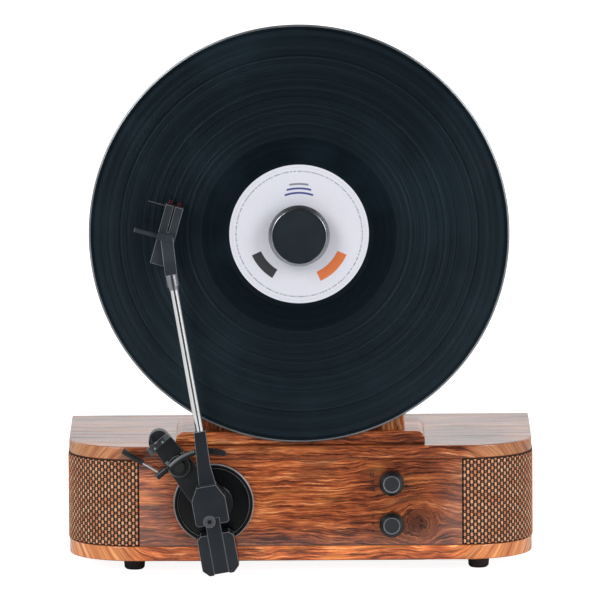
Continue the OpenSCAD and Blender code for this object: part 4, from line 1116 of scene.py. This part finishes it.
def makeRibs():
    start = math.radians(ribs["start"])
    step = math.radians(ribs["end"] - ribs["start"]) / (ribs["count"] - 1)
    along, across = ribs["centre"]
    parts = []
    for out, size in ((0.0, ribs["tick"]), (ribs["edgeOut"], ribs["edge"])):
        radius = ribs["radius"] + out
        place = restPoint(along + radius * math.cos(start), across + radius * math.sin(start), ribs["top"])
        parts.append(addBlock("rib", place, size, start + restTurn))
    first = joinPieces(parts, "lifterRibs")
    softenEdges(first, 0.04, 1)
    centre = Matrix.Translation(restPoint(along, across, 0))
    copies = [copyOf(first, "rib", centre @ Matrix.Rotation(step * i, 4, "Y") @ centre.inverted())
              for i in range(1, ribs["count"])]
    addTo(dress(joinPieces([first] + copies, "lifterRibs"), ribPale), "cue_lifter")


makeRibs()

# screw and bracket beside the lift's boss
restFittings = dict(screw=(43.1, 6.3, 9.0), bracket=(44.0, -6.5, 9.6), bracketSize=(2.6, 1.6, 3.4))
restScrew = lathe("restScrew", [(0.0, 8.9), (1.35, 8.9), (1.35, 9.5), (1.05, 9.85), (0.55, 9.9), (0.5, 9.6),
                                (0.0, 9.6)], restPoint(*restFittings["screw"]), 32, 30)
addTo(dress(restScrew, satinMetal), "rest_plate")
bracket = addBlock("leverBracket", restPoint(*restFittings["bracket"]), restFittings["bracketSize"], restTurn,
                   0.25)
addTo(dress(bracket, hookPale), "rest_plate")

# coloured rings round the phono sockets
socketRing = dict(inner=4.5, outer=6.2, sunk=0.05, side=0.8, top=1.1, edgeToMiddle=4.15)


def makeRings():
    low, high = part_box("rca_jacks")
    inner, outer = socketRing["inner"], socketRing["outer"]
    plate = tallAt(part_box("jack_plate")[1])
    sunk, side, top = plate + socketRing["sunk"], plate - socketRing["side"], plate - socketRing["top"]
    middle = Vector((low.x + socketRing["edgeToMiddle"] * mm, frontY, (low.z + high.z) / 2))
    right = lathe("socketRingRight", [(inner, sunk), (outer, sunk), (outer, side), (outer - 0.3, top),
                                      (inner + 0.3, top), (inner, side), (inner, sunk)], middle, 64, 30)
    pitch = high.x - low.x - 2 * socketRing["edgeToMiddle"] * mm
    left = copyOf(right, "socketRingLeft", Matrix.Translation((pitch, 0, 0)))
    addTo(dress(right, ringRed), "jack_plate")
    addTo(dress(left, ringWhite), "jack_plate")


makeRings()
print("arm pieces done")


# solids that keep their shape and get a finish

kept = {
    "arm_tube": chrome, "spindle": satinMetal, "lift_pin": satinMetal, "turret_clip": satinMetal,
    "platter": platterMetal, "slip_mat": beltRubber, "drive_drum": coverBlack, "drive_belt": beltRubber,
    "motor_pulley": brassMetal, "bearing_bush": brassMetal, "motor": satinMetal, "wood_screws": screwMetal,
    "rca_jacks": brassMetal, "dc_jack": coverBlack, "circuit_board": boardGreen,
    "selector_switches": coverBlack, "speaker_baffles": fibreTan, "left_speaker": coverBlack,
    "right_speaker": coverBlack, "speaker_cones": conePaper, "left_grille_frame": frameBrown,
    "right_grille_frame": frameBrown,
}
for node, finish in kept.items():
    for entry in nodes[node].material_slots:
        entry.material = finish
print("solids finished")


# floor, light and camera

darkStrip = dict(start=0.1, full=0.24, middle=0.0045, halfWidth=0.0845, slope=0.058, flareFrom=0.56,
                 flare=0.55, depth=0.93)


def makeFloor():
    clearSelection()
    bpy.ops.mesh.primitive_circle_add(vertices=96, radius=14.0, fill_type="NGON", location=(0, 0, -0.0002))
    floor = bpy.context.object
    floor.name = "floor"
    finish = bpy.data.materials.new("paleFloor")
    finish.use_nodes = True
    tree = finish.node_tree
    tree.nodes.clear()
    path = tree.nodes.new("ShaderNodeLightPath").outputs
    # in reflections only, a widening strip of floor before the base is dark
    floorX, floorY = split(objectPlace(tree))[:2]
    distance = minus(frontY, floorY)
    flare = times(most(minus(distance, darkStrip["flareFrom"]), 0.0), darkStrip["flare"])
    halfWidth = plus(times(distance, darkStrip["slope"]), darkStrip["halfWidth"], flare)
    beyond = minus(calc("ABSOLUTE", minus(floorX, darkStrip["middle"])), halfWidth)
    ahead = times(remap(distance, darkStrip["start"], darkStrip["full"]), remap(beyond, 0.006, -0.004))
    dimmed = times(path["Is Glossy Ray"], ahead, darkStrip["depth"])
    diffuse = addNode("BsdfDiffuse", blendTone(dimmed, (0.84, 0.84, 0.84, 1.0), (0.0, 0.0, 0.0, 1.0)))
    glow = tree.nodes.new("ShaderNodeEmission")
    feed(glow.inputs["Strength"], times(most(path["Is Camera Ray"], path["Is Transmission Ray"]), 0.92))
    addNode("OutputMaterial", addNode("AddShader", diffuse.outputs[0], glow.outputs[0]).outputs[0])
    dress(floor, finish)


def makeWorld():
    world = bpy.data.worlds.new("studio")
    bpy.context.scene.world = world
    world.use_nodes = True
    tree = world.node_tree
    tree.nodes.clear()
    path = tree.nodes.new("ShaderNodeLightPath").outputs
    seen = most(path["Is Camera Ray"], path["Is Transmission Ray"])
    # in reflections both sides and the back are bright, the front is dark
    x, y, z = split(tree.nodes.new("ShaderNodeTexCoord").outputs["Generated"])
    sideways = calc("DIVIDE", calc("ABSOLUTE", x), reachOf(x, y))
    aside = times(remap(sideways, 0.38, 0.56), remap(sideways, 0.95, 0.7, 1.0, 1.8))
    behind = remap(y, 0.0, 0.15)
    low = remap(z, 0.75, 0.4, 0.2, 1.0)
    mirror = times(plus(times(most(aside, behind), 0.86), 0.04), low)
    glossy = times(path["Is Glossy Ray"], mirror)
    soft = times(path["Is Diffuse Ray"], 0.42)
    background = addNode("Background", (1.0, 1.0, 1.0, 1.0), plus(seen, plus(glossy, soft)))
    addNode("OutputWorld", background.outputs[0])


lamps = [
    dict(name="keyLamp", place=(-1.5, -1.9, 1.5), size=(1.1, 1.6), power=34),
    dict(name="fillLamp", place=(1.7, -1.7, 1.1), size=(0.9, 1.6), power=26),
    dict(name="topLamp", place=(0.2, 0.1, 2.4), size=(1.8, 1.4), power=13, mirrored=False),
]


def addLamp(name, place, size, power, mirrored=True):
    lamp = bpy.data.lights.new(name, "AREA")
    lamp.shape = "RECTANGLE"
    lamp.size, lamp.size_y = size
    lamp.energy = power
    holder = bpy.data.objects.new(name, lamp)
    bpy.context.scene.collection.objects.link(holder)
    holder.location = place
    holder.rotation_euler = (Vector((0, 0, 0.2)) - Vector(place)).to_track_quat("-Z", "Y").to_euler()
    holder.visible_glossy = mirrored


view = dict(distance=8.0, elevation=7.114, roll=-0.344, aimDown=0.048, lens=670.15, shift=(0.00085, 0.00073))


def makeCamera():
    tilt = math.radians(view["elevation"])
    middle = spindle + Vector((0, 0.002, 0))
    place = middle + view["distance"] * Vector((0, -math.cos(tilt), math.sin(tilt)))
    forward = (middle - Vector((0, 0, view["aimDown"])) - place).normalized()
    right = forward.cross(Vector((0, 0, 1))).normalized()
    up = right.cross(forward)
    turn = math.radians(view["roll"])
    across = math.cos(turn) * right + math.sin(turn) * up
    upright = -math.sin(turn) * right + math.cos(turn) * up
    lens = bpy.data.cameras.new("photoCamera")
    lens.lens = view["lens"]
    lens.sensor_width = 36.0
    lens.shift_x, lens.shift_y = view["shift"]
    lens.clip_end = 100.0
    camera = bpy.data.objects.new("photoCamera", lens)
    bpy.context.scene.collection.objects.link(camera)
    turned = Matrix((across, upright, -forward)).transposed().to_4x4()
    camera.matrix_world = Matrix.Translation(place) @ turned
    bpy.context.scene.camera = camera


makeFloor()
makeWorld()
for lamp in lamps:
    addLamp(**lamp)
makeCamera()
bpy.context.scene.view_settings.view_transform = "Standard"
print("studio ready")
